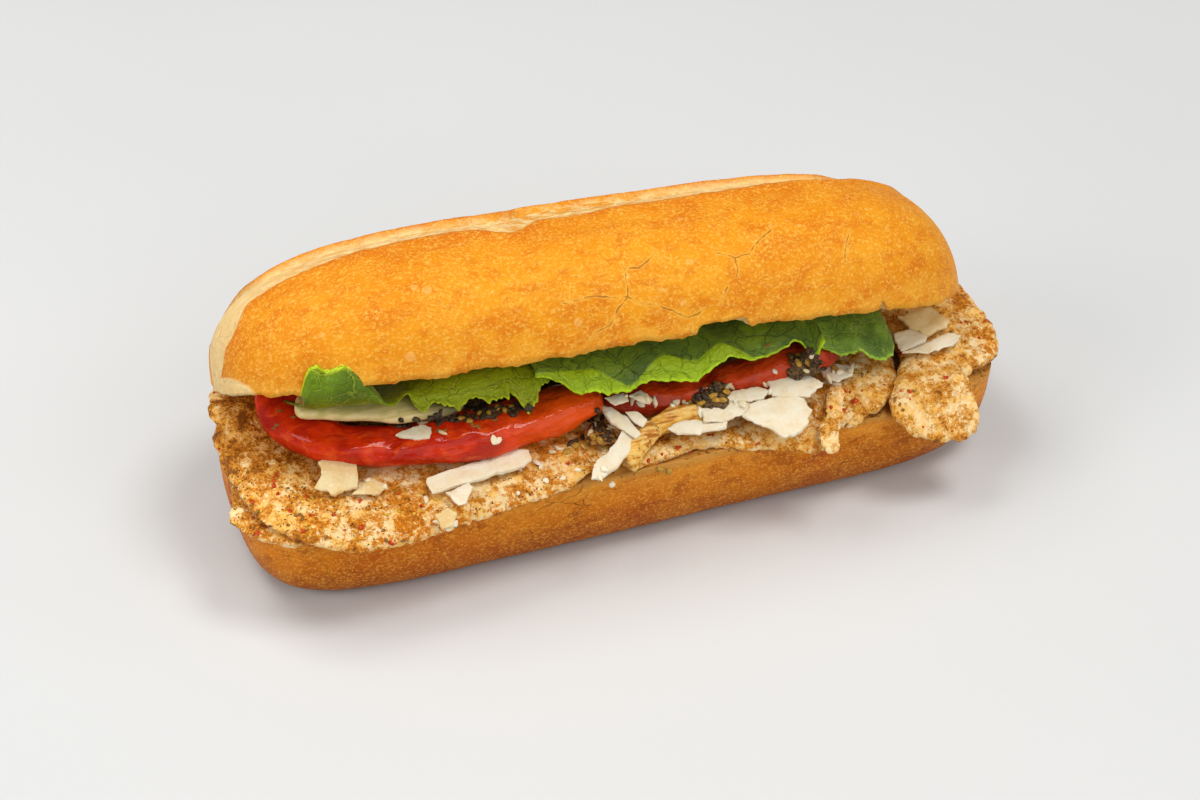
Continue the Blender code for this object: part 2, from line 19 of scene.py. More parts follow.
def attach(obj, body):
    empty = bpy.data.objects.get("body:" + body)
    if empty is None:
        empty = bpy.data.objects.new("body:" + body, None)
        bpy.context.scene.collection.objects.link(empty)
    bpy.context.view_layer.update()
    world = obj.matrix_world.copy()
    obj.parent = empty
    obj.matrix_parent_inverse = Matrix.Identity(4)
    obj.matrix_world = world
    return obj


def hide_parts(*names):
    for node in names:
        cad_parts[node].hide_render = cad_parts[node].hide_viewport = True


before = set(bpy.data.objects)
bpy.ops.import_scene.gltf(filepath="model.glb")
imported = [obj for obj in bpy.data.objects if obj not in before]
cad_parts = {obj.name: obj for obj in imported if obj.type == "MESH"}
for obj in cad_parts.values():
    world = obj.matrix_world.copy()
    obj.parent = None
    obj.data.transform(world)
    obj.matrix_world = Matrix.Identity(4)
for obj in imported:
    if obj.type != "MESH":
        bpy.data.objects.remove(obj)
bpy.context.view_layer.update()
MM = 0.001
SCENE = bpy.context.scene

# The photograph's camera
IMAGE_WIDTH = 1200
IMAGE_HEIGHT = 800
FOCAL_PIXELS = 2437.5
CAMERA_AZIMUTH = math.radians(-22.37)
CAMERA_ELEVATION = math.radians(39.7)
CAMERA_ROLL = math.radians(2.5)
CAMERA_DISTANCE = 0.722
CAMERA_TARGET = Vector((-6.5, -6.0, 33.0)) * MM

# The roll, as in the CAD
BASE_HALF_LENGTH = 117.6
BASE_HALF_WIDTH = 37.7
BASE_HEIGHT = 31.0
BASE_FULL_DEPTH = 39.4
BASE_SECTION = (2.9, 2.8)
BASE_ENDS = (7.3, 8.7, 3.86)
LID_HALF_LENGTH = 112.8
LID_HALF_WIDTH = 39.8
LID_HEIGHT = 37.2
LID_SECTION = (1.84, 2.69)
LID_ENDS = (4.45, 4.30, 2.64)
LID_TILT = math.radians(28.5)
LID_PITCH = math.radians(1.25)
LID_YAW = math.radians(-2.0)
LID_CENTRE = Vector((-5.3, 4.1, 53.65))
LID_DROOP = 5.0
SCORE_DEPTH = 2.4
LIP_RISE = 0.9
SCORE_LINE = [(-1.0, 15), (-0.97, 45), (-0.9, 65), (-0.5, 70), (-0.34, 69), (-0.24, 60), (-0.14, 68),
              (0.3, 70), (0.65, 73), (0.82, 82), (0.95, 102), (1.0, 108)]
SCORE_WIDTH = math.radians(31)
RIM_WAVE = 0.9

# The crust's relief, sunk a little so that it stays inside the solids
LID_SINK = 0.6
BASE_SINK = 0.5
LID_SHRINK = 0.998

# The lid's front rim: a stretch where it is broken off, and a narrow notch
BROKEN_FROM = (17.5, 19.0)
BROKEN_TO = (33.0, 34.5)
BROKEN_RISE = 2.6
NOTCH = (76.3, 0.9)
NOTCH_RISE = 2.4

# The bare corner at the lid's left end: its angle round the crust at a station, and how fast it narrows
BARE_ANGLE = 15.3
BARE_SLOPE = 2.7
BARE_X = -111.2

# Fineness of the roll's meshes: points round, how many of them are on the crust, and stations
LID_FINENESS = (230, 176, 400)
BASE_FINENESS = (190, 146, 300)

# Fillings
SLICE_INSET = 1.0
SHAVING_THICKNESS = 1.6
LEAF_THICKNESS = 0.55
SHRED_SEASONING = 0.12
MIDDLE_RELISH_LEVEL = 38.2
MIDDLE_RELISH_FLATNESS = 0.35


def clamp(value, low=0.0, high=1.0):
    return max(low, min(high, value))


def smoothstep(low, high, value):
    x = clamp((value - low) / (high - low))
    return x * x * (3 - 2 * x)


def hump(value, middle, half_width):
    """1 at the middle, falling smoothly to nothing away from it."""
    return math.exp(-(((value - middle) / half_width) ** 2))


def wobble(point, size, seed=0.0):
    """Smooth noise from -1 to 1 with features of the given size, in millimetres."""
    return noise.noise(Vector(point) / size + Vector((seed, 3.7 * seed, 1.3 * seed)))


def signed_power(value, power):
    return math.copysign(abs(value) ** power, value)


def taper(station, ends):
    left, right, rounding = ends
    power = left if station < 0 else right
    return max(0.0, 1 - abs(station) ** power) ** (1 / rounding)


def curve_point(points, share, closed=False):
    count = len(points) if closed else len(points) - 1
    place = share * count
    i = min(int(place), count - 1)
    t = place - i

    def at(k):
        return Vector(points[k % len(points)] if closed else points[min(max(k, 0), len(points) - 1)])

    a, b, c, d = at(i - 1), at(i), at(i + 1), at(i + 2)
    return 0.5 * ((2 * b) + (c - a) * t + (2 * a - 5 * b + 4 * c - d) * t**2 + (3 * b - a - 3 * c + d) * t**3)


# Materials


class Paint:
    """One procedural material, built node by node. Places are in millimetres in the row frame."""

    def __init__(self, name, roughness, subsurface=0.0, coat=0.0, coat_roughness=0.1, specular=0.5):
        self.material = bpy.data.materials.new(name)
        self.material.use_nodes = True
        self.tree = self.material.node_tree
        self.shader = self.tree.nodes["Principled BSDF"]
        self.set("Roughness", roughness)
        self.set("Specular IOR Level", specular)
        if subsurface:
            self.set("Subsurface Weight", subsurface)
            self.set("Subsurface Radius", (1.0, 0.5, 0.25))
            self.set("Subsurface Scale", 2.0 * MM)
        if coat:
            self.set("Coat Weight", coat)
            self.set("Coat Roughness", coat_roughness)
        place = self.tree.nodes.new("ShaderNodeTexCoord")
        self.place = self.scaled(place.outputs["Object"], (1 / MM,) * 3)
        self.relief = None

    def set(self, socket, value):
        """A fixed value, or the output that feeds the socket."""
        if isinstance(value, bpy.types.NodeSocket):
            self.tree.links.new(value, self.shader.inputs[socket])
        elif isinstance(value, tuple) and len(value) == 3 and socket == "Base Color":
            self.shader.inputs[socket].default_value = (*value, 1)
        else:
            self.shader.inputs[socket].default_value = value

    def node(self, kind, inputs, output=0, **settings):
        node = self.tree.nodes.new(kind)
        for key, value in settings.items():
            setattr(node, key, value)
        for key, value in inputs.items():
            if isinstance(value, bpy.types.NodeSocket):
                self.tree.links.new(value, node.inputs[key])
            else:
                node.inputs[key].default_value = value
        return node.outputs[output]

    def scaled(self, vector, scale, turn=(0.0, 0.0, 0.0)):
        return self.node("ShaderNodeMapping", {"Vector": vector, "Scale": scale, "Rotation": turn})

    def noise(self, size, detail=2.0, roughness=0.5, distortion=0.0, stretch=None, turn=(0.0, 0.0, 0.0)):
        """Noise with features of about this many millimetres, longer where stretch is over 1."""
        at = self.place
        if stretch:
            at = self.scaled(at, tuple(1 / s for s in stretch), turn)
        return self.node("ShaderNodeTexNoise", {"Vector": at, "Scale": 1 / size, "Detail": detail,
                                                "Roughness": roughness, "Distortion": distortion})

    def cells(self, size, feature="F1", warp=0.0):
        at = self.place
        if warp:
            at = self.warped(at, size, warp)
        inputs = {"Vector": at, "Scale": 1 / size}
        return self.node("ShaderNodeTexVoronoi", inputs, "Distance", feature=feature)

    def attribute(self, name):
        return self.node("ShaderNodeAttribute", {}, "Fac", attribute_name=name)

    def ramp(self, value, low, high, bottom=0.0, top=1.0):
        inputs = {"Value": value, "From Min": low, "From Max": high, "To Min": bottom, "To Max": top}
        return self.node("ShaderNodeMapRange", inputs, interpolation_type="SMOOTHSTEP")

    def sum(self, a, b, operation="ADD"):
        held = operation in ("ADD", "MULTIPLY")
        return self.node("ShaderNodeMath", {0: a, 1: b}, operation=operation, use_clamp=held)

    def times(self, a, b):
        return self.sum(a, b, "MULTIPLY")

    def mix(self, share, a, b):
        """Colour a turning to colour b by a share from 0 to 1."""
        node = self.tree.nodes.new("ShaderNodeMix")
        node.data_type = "RGBA"
        for socket, value in zip((node.inputs[0], node.inputs[6], node.inputs[7]), (share, a, b)):
            if isinstance(value, bpy.types.NodeSocket):
                self.tree.links.new(value, socket)
            else:
                socket.default_value = (*value, 1) if isinstance(value, tuple) else value
        return node.outputs[2]

    def warped(self, at, size, amount, flat=False):
        """The places shifted by noise, so that lines drawn with them wander."""
        reach = (amount, amount, 0.0 if flat else amount)
        shift = self.node("ShaderNodeTexNoise", {"Vector": at, "Scale": 1 / size, "Detail": 2.0}, "Color")
        shift = self.node("ShaderNodeVectorMath", {0: shift, 1: (0.5, 0.5, 0.5)}, operation="SUBTRACT")
        shift = self.node("ShaderNodeVectorMath", {0: shift, 1: reach}, operation="MULTIPLY")
        return self.node("ShaderNodeVectorMath", {0: at, 1: shift}, operation="ADD")

    def distance(self, at, point):
        return self.node("ShaderNodeVectorMath", {0: at, 1: point}, "Value", operation="DISTANCE")

    def segment_distance(self, at, start, end):
        """How far each place is from a straight line between two points."""
        along = Vector(end) - Vector(start)
        offset = self.node("ShaderNodeVectorMath", {0: at, 1: start}, operation="SUBTRACT")
        share = self.node("ShaderNodeVectorMath", {0: offset, 1: along / along.length_squared}, "Value",
                          operation="DOT_PRODUCT")
        share = self.node("ShaderNodeClamp", {"Value": share})
        foot = self.node("ShaderNodeVectorMath", {0: along, "Scale": share}, operation="SCALE")
        return self.node("ShaderNodeVectorMath", {0: offset, 1: foot}, "Value", operation="DISTANCE")

    def bump(self, height, depth):
        """Adds relief of the given depth in millimetres."""
        inputs = {"Height": height, "Distance": depth * MM, "Strength": 1.0}
        if self.relief:
            inputs["Normal"] = self.relief
        self.relief = self.node("ShaderNodeBump", inputs)
        self.set("Normal", self.relief)


def crust_paint(name, light, middle, dark, speck, crumb, cracks=(), blisters=()):
    """Baked crust, with its split, cut and rim painted pale by the mesh's own masks."""
    p = Paint(name, 0.5, subsurface=0.03, specular=0.10)
    skin = p.node("ShaderNodeCombineXYZ", {"X": p.attribute("along"), "Y": p.attribute("around")}, "Vector")
    broad = p.noise(26, 3, 0.6)
    mottle = p.noise(5.0, 4, 0.65, stretch=(1.6, 1.0, 1.0))
    grain = p.noise(0.85, 3, 0.78, stretch=(1.2, 1.0, 1.0))
    net = p.cells(1.5, "DISTANCE_TO_EDGE", 1.4)
    colour = p.mix(p.ramp(broad, 0.36, 0.64), middle, light)
    colour = p.mix(p.times(p.ramp(mottle, 0.46, 0.66), 0.60), colour, dark)
    # Toasting darkens the colour here; on the lower crust this mask also carries painted shade near the
    # floor.
    colour = p.mix(p.attribute("toast_and_shade"), colour, dark)
    colour = p.mix(p.times(p.attribute("low"), p.ramp(mottle, 0.66, 0.34)), colour, speck)
    pale_grain = p.times(p.ramp(grain, 0.50, 0.62), 0.60)
    pale_net = p.times(p.ramp(net, 0.10, 0.02), p.ramp(p.noise(6, 3), 0.44, 0.62))
    colour = p.mix(p.sum(pale_grain, p.times(pale_net, 0.30)), colour, speck)
    dots = p.times(p.ramp(p.cells(3.4, "F1", 1.5), 0.17, 0.11), p.ramp(p.noise(11, 2), 0.47, 0.58))
    if blisters:
        warped = p.warped(skin, 1.6, 1.6, flat=True)
        for x, around, size in blisters:
            away = p.distance(warped, (x, around, 0))
            dots = p.sum(dots, p.ramp(away, size, size * 0.6), "MAXIMUM")
    colour = p.mix(p.times(dots, 0.32), colour, tuple(0.5 * (a + b) for a, b in zip(speck, crumb)))

    warped = p.warped(skin, 3.0, 1.3, flat=True)
    away = 9.0
    for line in cracks:
        for a, b in zip(line, line[1:]):
            away = p.sum(away, p.segment_distance(warped, (*a, 0), (*b, 0)), "MINIMUM")
    width = p.ramp(p.noise(2.6, 3), 0.38, 0.66, 0.0, 0.24)
    if cracks:
        crack = p.node("ShaderNodeMath", {0: away, 1: width}, operation="LESS_THAN")
        colour = p.mix(p.times(p.ramp(away, 1.0, 0.3), 0.35), colour, speck)
    else:
        lines = p.ramp(p.cells(15, "DISTANCE_TO_EDGE", 16.0), 0.008, 0.003)
        crack = p.times(lines, p.ramp(p.noise(22, 2), 0.60, 0.63))
    # Painted shade: the cracks are drawn dark, as the shade in their gaps.
    colour = p.mix(p.times(crack, 0.60), colour, tuple(c * 0.40 for c in dark))

    streak = p.noise(2.6, 4, 0.7, stretch=(2.4, 1.0, 1.0))
    opened = p.mix(p.times(p.ramp(streak, 0.42, 0.58), p.attribute("streaks")), crumb, light)
    opened = p.mix(p.times(p.ramp(grain, 0.5, 0.68), 0.35), opened, tuple(min(0.95, 1.12 * c) for c in crumb))
    colour = p.mix(p.attribute("pale"), colour, opened)
    # Painted shade: the crumb's pores are darker, as the shade in the holes.
    pores = p.ramp(p.cells(1.7, "F1", 1.0), 0.30, 0.05)
    cut = p.mix(p.times(pores, 0.45), crumb, tuple(c * 0.5 for c in crumb))
    colour = p.mix(p.attribute("cut"), colour, cut)
    p.set("Base Color", colour)

    p.bump(mottle, 0.40)
    p.bump(grain, 0.30)
    p.bump(p.sum(1.0, p.ramp(crack, 0.0, 1.0), "SUBTRACT"), 0.35)
    p.bump(p.times(p.ramp(streak, 0.3, 0.7), p.attribute("pale")), 0.6)
    p.bump(p.times(p.sum(1.0, pores, "SUBTRACT"), p.attribute("cut")), 0.8)
    return p.material


def chicken_paint():
    """Grilled chicken: pale flesh under clusters of seasoning, which turn from gold to orange to dark brown
    towards their middles. The mesh says where the seasoning is thick and where the grill has charred it."""
    p = Paint("grilled_chicken", 0.34, subsurface=0.05, specular=0.15)
    white, cream, gold = (0.89, 0.66, 0.34), (0.86, 0.49, 0.12), (0.83, 0.35, 0.025)
    orange, brown, dark = (0.80, 0.23, 0.003), (0.46, 0.150, 0.008), (0.17, 0.052, 0.006)
    flesh = p.noise(5.0, 4, 0.65, distortion=0.8)
    fibre = p.noise(1.3, 3, 0.6, stretch=(1.0, 4.0, 1.0), turn=(0.0, 0.0, 0.5))
    season = p.noise(6.0, 5, 0.88)
    thick = p.sum(p.ramp(p.attribute("sear"), 0.0, 1.0, -0.075, 0.022), p.times(p.attribute("char"), 0.060))
    season = p.node("ShaderNodeMath", {0: season, 1: thick}, operation="ADD")
    colour = p.mix(p.ramp(flesh, 0.40, 0.62), white, cream)
    colour = p.mix(p.times(p.ramp(fibre, 0.44, 0.34), 0.35), colour, gold)
    colour = p.mix(p.times(p.ramp(season, 0.470, 0.525), 0.85), colour, gold)
    paprika = p.noise(6.0, 5, 0.84)
    orange_share = p.times(p.ramp(paprika, 0.47, 0.55), p.attribute("spice"))
    colour = p.mix(orange_share, colour, orange)
    colour = p.mix(p.times(p.ramp(season, 0.540, 0.585), 0.88), colour, brown)
    colour = p.mix(p.times(p.ramp(season, 0.600, 0.640), 0.9), colour, dark)
    p.set("Base Color", colour)
    p.set("Roughness", p.ramp(fibre, 0.35, 0.65, 0.26, 0.50))
    p.bump(flesh, 0.9)
    p.bump(fibre, 0.45)
    p.bump(p.ramp(season, 0.44, 0.62), 0.35)
    return p.material


def skin_paint():
    """The browned edge of a chicken slice that curls over."""
    p = Paint("chicken_skin", 0.38, subsurface=0.06, specular=0.25)
    grain = p.noise(1.1, 3, 0.6, stretch=(7.0, 1.0, 1.0), turn=(0.0, 0.0, -0.5))
    colour = p.mix(p.ramp(p.noise(5, 3), 0.4, 0.6), (0.74, 0.36, 0.035), (0.56, 0.20, 0.014))
    colour = p.mix(p.times(p.ramp(grain, 0.45, 0.60), 0.7), colour, (0.88, 0.62, 0.20))
    colour = p.mix(p.times(p.ramp(grain, 0.46, 0.36), 0.7), colour, (0.26, 0.080, 0.010))
    p.set("Base Color", colour)
    p.bump(grain, 0.5)
    return p.material


def pepper_paint(name, bright, deep, warm, warm_from=None):
    """Skin of a roasted pepper: wet, finely wrinkled, with small glints, warmer towards one end."""
    p = Paint(name, 0.4, subsurface=0.02, coat=0.35, coat_roughness=0.08, specular=0.05)
    wrinkle = p.noise(3.2, 3, 0.55, distortion=0.5, stretch=(2.0, 1.0, 1.0))
    small = p.noise(1.4, 3, 0.6)
    colour = p.mix(p.ramp(p.noise(10, 3), 0.38, 0.62), bright, deep)
    colour = p.mix(p.times(p.ramp(wrinkle, 0.50, 0.70), 0.5), colour, warm)
    if warm_from:
        row = p.node("ShaderNodeSeparateXYZ", {"Vector": p.place}, "X")
        colour = p.mix(p.ramp(row, *warm_from, 0.0, 0.75), colour, warm)
    p.set("Base Color", colour)
    p.bump(wrinkle, 1.1)
    p.bump(small, 0.45)
    return p.material


def lettuce_paint(name, leaf, dark, pale, vein_colour, vein_share=0.35, painted_light=None):
    """The mesh says where its torn edge is, and how far along and across the leaf each point lies."""
    p = Paint(name, 0.36, subsurface=0.06, specular=0.2)
    uv = p.node("ShaderNodeUVMap", {}, uv_map="along_across")
    keep, p.place = p.place, p.scaled(uv, (1 / MM,) * 3)
    vein = p.ramp(p.cells(7.5, "DISTANCE_TO_EDGE", 5.0), 0.040, 0.012)
    little = p.ramp(p.cells(2.6, "DISTANCE_TO_EDGE", 1.5), 0.07, 0.02)
    p.place = keep
    colour = p.mix(p.ramp(p.noise(13, 3), 0.38, 0.62), leaf, dark)
    colour = p.mix(p.times(p.ramp(p.noise(2.2, 3), 0.5, 0.7), 0.3), colour, dark)
    # Painted light: the leaf turns to a lighter colour along the row, lifting the stretch that lies in the
    # lid's shade.
    if painted_light:
        start, end, painted_lit_colour = painted_light
        row = p.node("ShaderNodeSeparateXYZ", {"Vector": p.place}, "X")
        colour = p.mix(p.ramp(row, start, end, 0.0, 0.9), colour, painted_lit_colour)
    colour = p.mix(p.times(vein, vein_share), colour, vein_colour)
    colour = p.mix(p.times(little, 0.12), colour, vein_colour)
    colour = p.mix(p.attribute("curl"), colour, pale)
    colour = p.mix(p.attribute("edge"), colour, tuple(min(0.9, 1.5 * c) for c in pale))
    p.set("Base Color", colour)
    p.bump(p.sum(1.0, vein, "SUBTRACT"), 0.40)
    p.bump(p.sum(1.0, little, "SUBTRACT"), 0.16)
    p.bump(p.noise(4.0, 3), 1.1)
    return p.material


def rib_paint():
    p = Paint("leaf_rib", 0.35, subsurface=0.10, specular=0.3)
    groove = p.noise(1.1, 2, 0.5, stretch=(18.0, 1.0, 1.0))
    colour = p.mix(p.ramp(groove, 0.4, 0.66), (0.82, 0.64, 0.30), (0.66, 0.52, 0.18))
    colour = p.mix(p.times(p.ramp(p.noise(7, 2), 0.5, 0.7), 0.5), colour, (0.40, 0.40, 0.08))
    colour = p.mix(p.times(p.ramp(p.cells(4.5, "F1"), 0.09, 0.05), 0.8), colour, (0.16, 0.10, 0.03))
    # Painted shade: the rib darkens towards its right end, which lies under the leaf.
    along = p.node("ShaderNodeSeparateXYZ", {"Vector": p.place}, "X")
    colour = p.mix(p.ramp(along, -70.0, -56.0, 0.0, 0.85), colour, (0.09, 0.085, 0.025))
    p.set("Base Color", colour)
    p.bump(groove, 0.3)
    return p.material


def cheese_paint(name, first, second):
    p = Paint(name, 0.5, subsurface=0.10, specular=0.3)
    colour = p.mix(p.ramp(p.noise(5, 3), 0.4, 0.66), first, second)
    colour = p.mix(p.times(p.ramp(p.noise(0.9, 2), 0.58, 0.72), 0.4), colour, (0.88, 0.79, 0.58))
    p.set("Base Color", colour)
    p.bump(p.noise(3.4, 3, 0.6, distortion=0.6), 0.5)
    p.bump(p.noise(1.0, 3, 0.6), 0.12)
    return p.material


def plain_paint(name, first, second, size, roughness, depth):
    """Two colours mottled together, for seeds, flecks and relish."""
    p = Paint(name, roughness, specular=0.25)
    mottle = p.noise(size, 3, 0.6)
    p.set("Base Color", p.mix(p.ramp(mottle, 0.38, 0.62), first, second))
    p.bump(mottle, depth)
    return p.material


# Meshes


def ball(around, along):
    """The points and faces of a unit ball, in rings along Z from pole to pole."""
    points = [Vector((0, 0, 1))]
    for ring in range(1, along):
        down = math.pi * ring / along
        for i in range(around):
            turn = math.tau * i / around
            out = math.sin(down)
            points.append(Vector((out * math.cos(turn), out * math.sin(turn), math.cos(down))))
    points.append(Vector((0, 0, -1)))
    last, foot = len(points) - 1, len(points) - 1 - around
    faces = []
    for i in range(around):
        j = (i + 1) % around
        faces.append((0, 1 + i, 1 + j))
        for ring in range(along - 2):
            upper, lower = 1 + ring * around, 1 + (ring + 1) * around
            faces.append((upper + i, lower + i, lower + j, upper + j))
        faces.append((foot + i, last, foot + j))
    return points, faces


PIECES = set()


def new_piece(name, mesh, material, *nodes, slot=None):
    """A finished piece that stands for the CAD nodes named."""
    mesh.materials.clear()
    mesh.materials.append(material)
    mesh.shade_smooth()
    piece = bpy.data.objects.new(name, mesh)
    SCENE.collection.objects.link(piece)
    PIECES.add(piece.name)
    if nodes:
        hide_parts(*nodes)
    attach(piece, "root")
    return piece


def closed_mesh(points, faces):
    """A mesh of points in millimetres, with its faces turned outwards."""
    corners = numpy.array([tuple(p) for p in points])
    fans = numpy.array([(face[0], face[k], face[k + 1]) for face in faces for k in range(1, len(face) - 1)])
    first, second, third = (corners[fans[:, k]] for k in range(3))
    if (first * numpy.cross(second, third)).sum() < 0:
        faces = [face[::-1] for face in faces]
    mesh = bpy.data.meshes.new("shape")
    mesh.from_pydata((corners * MM).tolist(), [], faces)
    return mesh


def add_mask(mesh, name, shares):
    mesh.attributes.new(name, "FLOAT", "POINT").data.foreach_set("value", shares)


def applied(helper):
    """The mesh of an object with its modifiers, which takes the object's place."""
    bpy.context.view_layer.update()
    mesh = bpy.data.meshes.new_from_object(helper.evaluated_get(bpy.context.evaluated_depsgraph_get()))
    bpy.data.objects.remove(helper)
    return mesh


def reshaped(shape, place, masks=()):
    """The shape with its points moved by place, which gives a point in millimetres and the masks' values."""
    points, faces = shape
    placed = [place(co) for co in points]
    mesh = closed_mesh([point for point, _ in placed], faces)
    for number, name in enumerate(masks):
        add_mask(mesh, name, [shares[number] for _, shares in placed])
    return mesh


# Roll

CRUST_MASKS = ("pale", "streaks", "toast_and_shade", "low", "cut", "along", "around")
ARC_STEPS = 720


def arc_table(half_width, height, section):
    """Distance round the crust from its rim, in millimetres, for each of ARC_STEPS equal angles."""
    wide, high = section
    total, table, last = 0.0, [], None
    for i in range(ARC_STEPS + 1):
        angle = math.pi * i / ARC_STEPS
        point = Vector((-signed_power(math.cos(angle), 2 / wide) * half_width,
                        abs(math.sin(angle)) ** (2 / high) * height))
        total += (point - last).length if last else 0.0
        table.append(total)
        last = point
    return table


def arc_at(table, angle):
    place = clamp(angle / math.pi * ARC_STEPS, 0.0, ARC_STEPS - 1e-6)
    i = int(place)
    return table[i] + (table[i + 1] - table[i]) * (place - i)


BASE_ARC = arc_table(BASE_HALF_WIDTH, BASE_FULL_DEPTH, BASE_SECTION)
LID_ARC = arc_table(LID_HALF_WIDTH, LID_HEIGHT, LID_SECTION)


def loaf_half(sizes, section, ends, fineness, place):
    """One half of the roll. Place takes station, across, up and crust angle, or None on the cut face."""
    half_width, height = sizes
    wide, high = section
    around, on_crust, stations = fineness
    crust_share = on_crust / around

    def on_half(co):
        station = clamp(co.z, -1.0, 1.0)
        turn = (math.atan2(co.y, co.x) / math.tau) % 1.0
        if turn > 1 - 1e-6:
            turn = 0.0
        width = taper(station, ends)
        if turn > crust_share + 1e-6:
            across = 1 - 2 * (turn - crust_share) / (1 - crust_share)
            return place(station, across * half_width * width, 0.0, None)
        angle = math.pi * turn / crust_share
        w = -signed_power(math.cos(angle), 2 / wide) * half_width * width
        h = abs(math.sin(angle)) ** (2 / high) * height * width
        return place(station, w, h, angle)

    return reshaped(ball(around, stations), on_half, CRUST_MASKS)


def rim_wave(station, seed):
    return RIM_WAVE * noise.noise(Vector((station * 9.0, seed, 0.3)))


def crust_relief(point):
    """Low swells and pits of a baked crust."""
    return 0.55 * wobble(point, 27, 1.0) + 0.22 * wobble(point, 9, 2.0) + 0.08 * wobble(point, 2.6, 3.0)


def base_mesh():
    def place(station, across, down, angle):
        z = BASE_HEIGHT - down
        lift = 5.0
        floor = max(0.0, lift - z)
        z = max(0.0, z + floor * floor / (4 * lift)) if z > -lift else 0.0
        rim = 1 - smoothstep(0, 8, down)
        z += rim * rim_wave(station, 2.0) * (1 if angle is not None or abs(across) > 25 else 0.4)
        x = station * BASE_HALF_LENGTH
        point = Vector((x, across, z))
        cut = 1.0 if angle is None else 0.0
        if angle is not None and z > 0.6:
            outward = Vector((0, across, 0)).normalized()
            point += outward * (crust_relief(point) - BASE_SINK)
            point.z += 0.5 * rim * wobble((x, 0, 9), 5, 4.0)
        elif angle is None:
            point.z += 0.5 * wobble(point, 3, 5.0) - 0.3
        # Painted shade: the crust darkens towards the floor. The noise adds uneven toasting.
        toast_and_shade = 0.75 * smoothstep(24, 3, z) + 0.25 * wobble(point, 22, 6.0)
        low = smoothstep(11.0, 1.0, down) * 0.45 * (1 - cut)
        edge = smoothstep(0.9, 0.2, down) * (1 - cut)
        around = -20.0 if angle is None else arc_at(BASE_ARC, angle)
        return point, (0.0, 0.0, clamp(toast_and_shade, 0.0, 0.8), low, max(cut, edge), x, around)

    return loaf_half((BASE_HALF_WIDTH, BASE_FULL_DEPTH), BASE_SECTION, BASE_ENDS, BASE_FINENESS, place)


def lid_matrix():
    tilt = Matrix.Rotation(-LID_TILT, 4, "X")
    pitch = Matrix.Rotation(LID_PITCH, 4, "Y")
    yaw = Matrix.Rotation(LID_YAW, 4, "Z")
    return Matrix.Translation(LID_CENTRE) @ yaw @ pitch @ tilt


LID = lid_matrix()


def lip_angle(station):
    for (s0, a0), (s1, a1) in zip(SCORE_LINE, SCORE_LINE[1:]):
        if station <= s1:
            return math.radians(a0 + (a1 - a0) * smoothstep(s0, s1, station))
    return math.radians(SCORE_LINE[-1][1])


def lid_mesh():
    def place(station, across, up, angle):
        across *= LID_SHRINK
        x = station * LID_HALF_LENGTH
        pale = streaks = toast_and_shade = low_share = 0.0
        inward = LID_HALF_WIDTH * taper(station, LID_ENDS) - abs(across)
        cut = smoothstep(1.0, 2.2, inward + wobble((x, 0, 0), 3, 16.0))
        if angle is not None:
            width = taper(station, LID_ENDS)
            jag = math.radians(1.6) * wobble((x, 0, 0), 7, 8.0)
            jag += math.radians(0.8) * wobble((x, 0, 0), 2.2, 9.0)
            past = angle - lip_angle(station) - jag  # how far behind the split's front lip
            score_width = SCORE_WIDTH + math.radians(75) * smoothstep(-0.84, -0.99, station)
            opened = smoothstep(0.0, 0.045, past) * (1 - smoothstep(score_width - 0.05, score_width, past))
            lip = hump(past, -0.05, 0.07)
            back = hump(past, score_width, 0.03)
            sunk = SCORE_DEPTH * opened - LIP_RISE * lip - 0.3 * back
            sunk += opened * 0.45 * wobble((x, 40 * angle, 0), 3.2, 10.0)
            up -= sunk * width * smoothstep(0.0, 0.35, math.sin(angle))
            up_free = abs(math.sin(angle))
            up += (crust_relief((x, across, up)) - LID_SINK) * up_free
            pale = opened
            streaks = 0.6 + 0.35 * smoothstep(-0.4, -0.1, station) - 0.65 * smoothstep(0.05, 0.4, station)
            streaks -= 0.40 * smoothstep(-0.72, -0.92, station)
            toast_and_shade = 0.45 * hump(past, -0.05, 0.08) + 0.35 * hump(past, -0.15, 0.3) + 0.7 * back
            toast_and_shade += 0.25 * smoothstep(1.9, 2.6, angle)
            low_share = 0.42 * smoothstep(9.0, 1.0, up) * (0.7 + 0.6 * wobble((x, up, 0), 14, 11.0))
            cut = 0.0
            if angle < 0.6:
                corner = BARE_ANGLE - BARE_SLOPE * (x - BARE_X) + 2.0 * wobble((x, up, 0), 4, 12.0)
                pale = max(pale, smoothstep(-0.8, 0.8, corner - math.degrees(angle)))
        low = 1 - min(1.0, up / LID_HEIGHT)
        up -= LID_DROOP * smoothstep(0.3, 1.0, station) * low
        rim = smoothstep(0.75, 1.0, low)
        up += rim_wave(station, 7.0) * rim
        if across < 0:
            rim_edge = smoothstep(0.86, 1.0, low)
            broken = smoothstep(*BROKEN_FROM, x) * (1 - smoothstep(*BROKEN_TO, x))
            up += rim * 0.7 * wobble((x, 0, 5), 4.5, 13.0) + rim_edge * 0.5 * wobble((x, 0, 5), 1.8, 14.0)
            up += rim_edge * (BROKEN_RISE * broken + NOTCH_RISE * hump(x, *NOTCH))
        if angle is None:
            up += 0.5 * wobble((x, across, 0), 3.0, 14.0)
        point = LID @ Vector((x, across, up))
        toast_and_shade = clamp(toast_and_shade * (0.85 + 0.5 * wobble((x, across, 0), 12, 15.0)), 0.0, 0.85)
        around = -20.0 if angle is None else arc_at(LID_ARC, angle)
        return point, (pale, streaks, toast_and_shade, max(0.0, low_share), cut, x, around)

    return loaf_half((LID_HALF_WIDTH, LID_HEIGHT), LID_SECTION, LID_ENDS, LID_FINENESS, place)


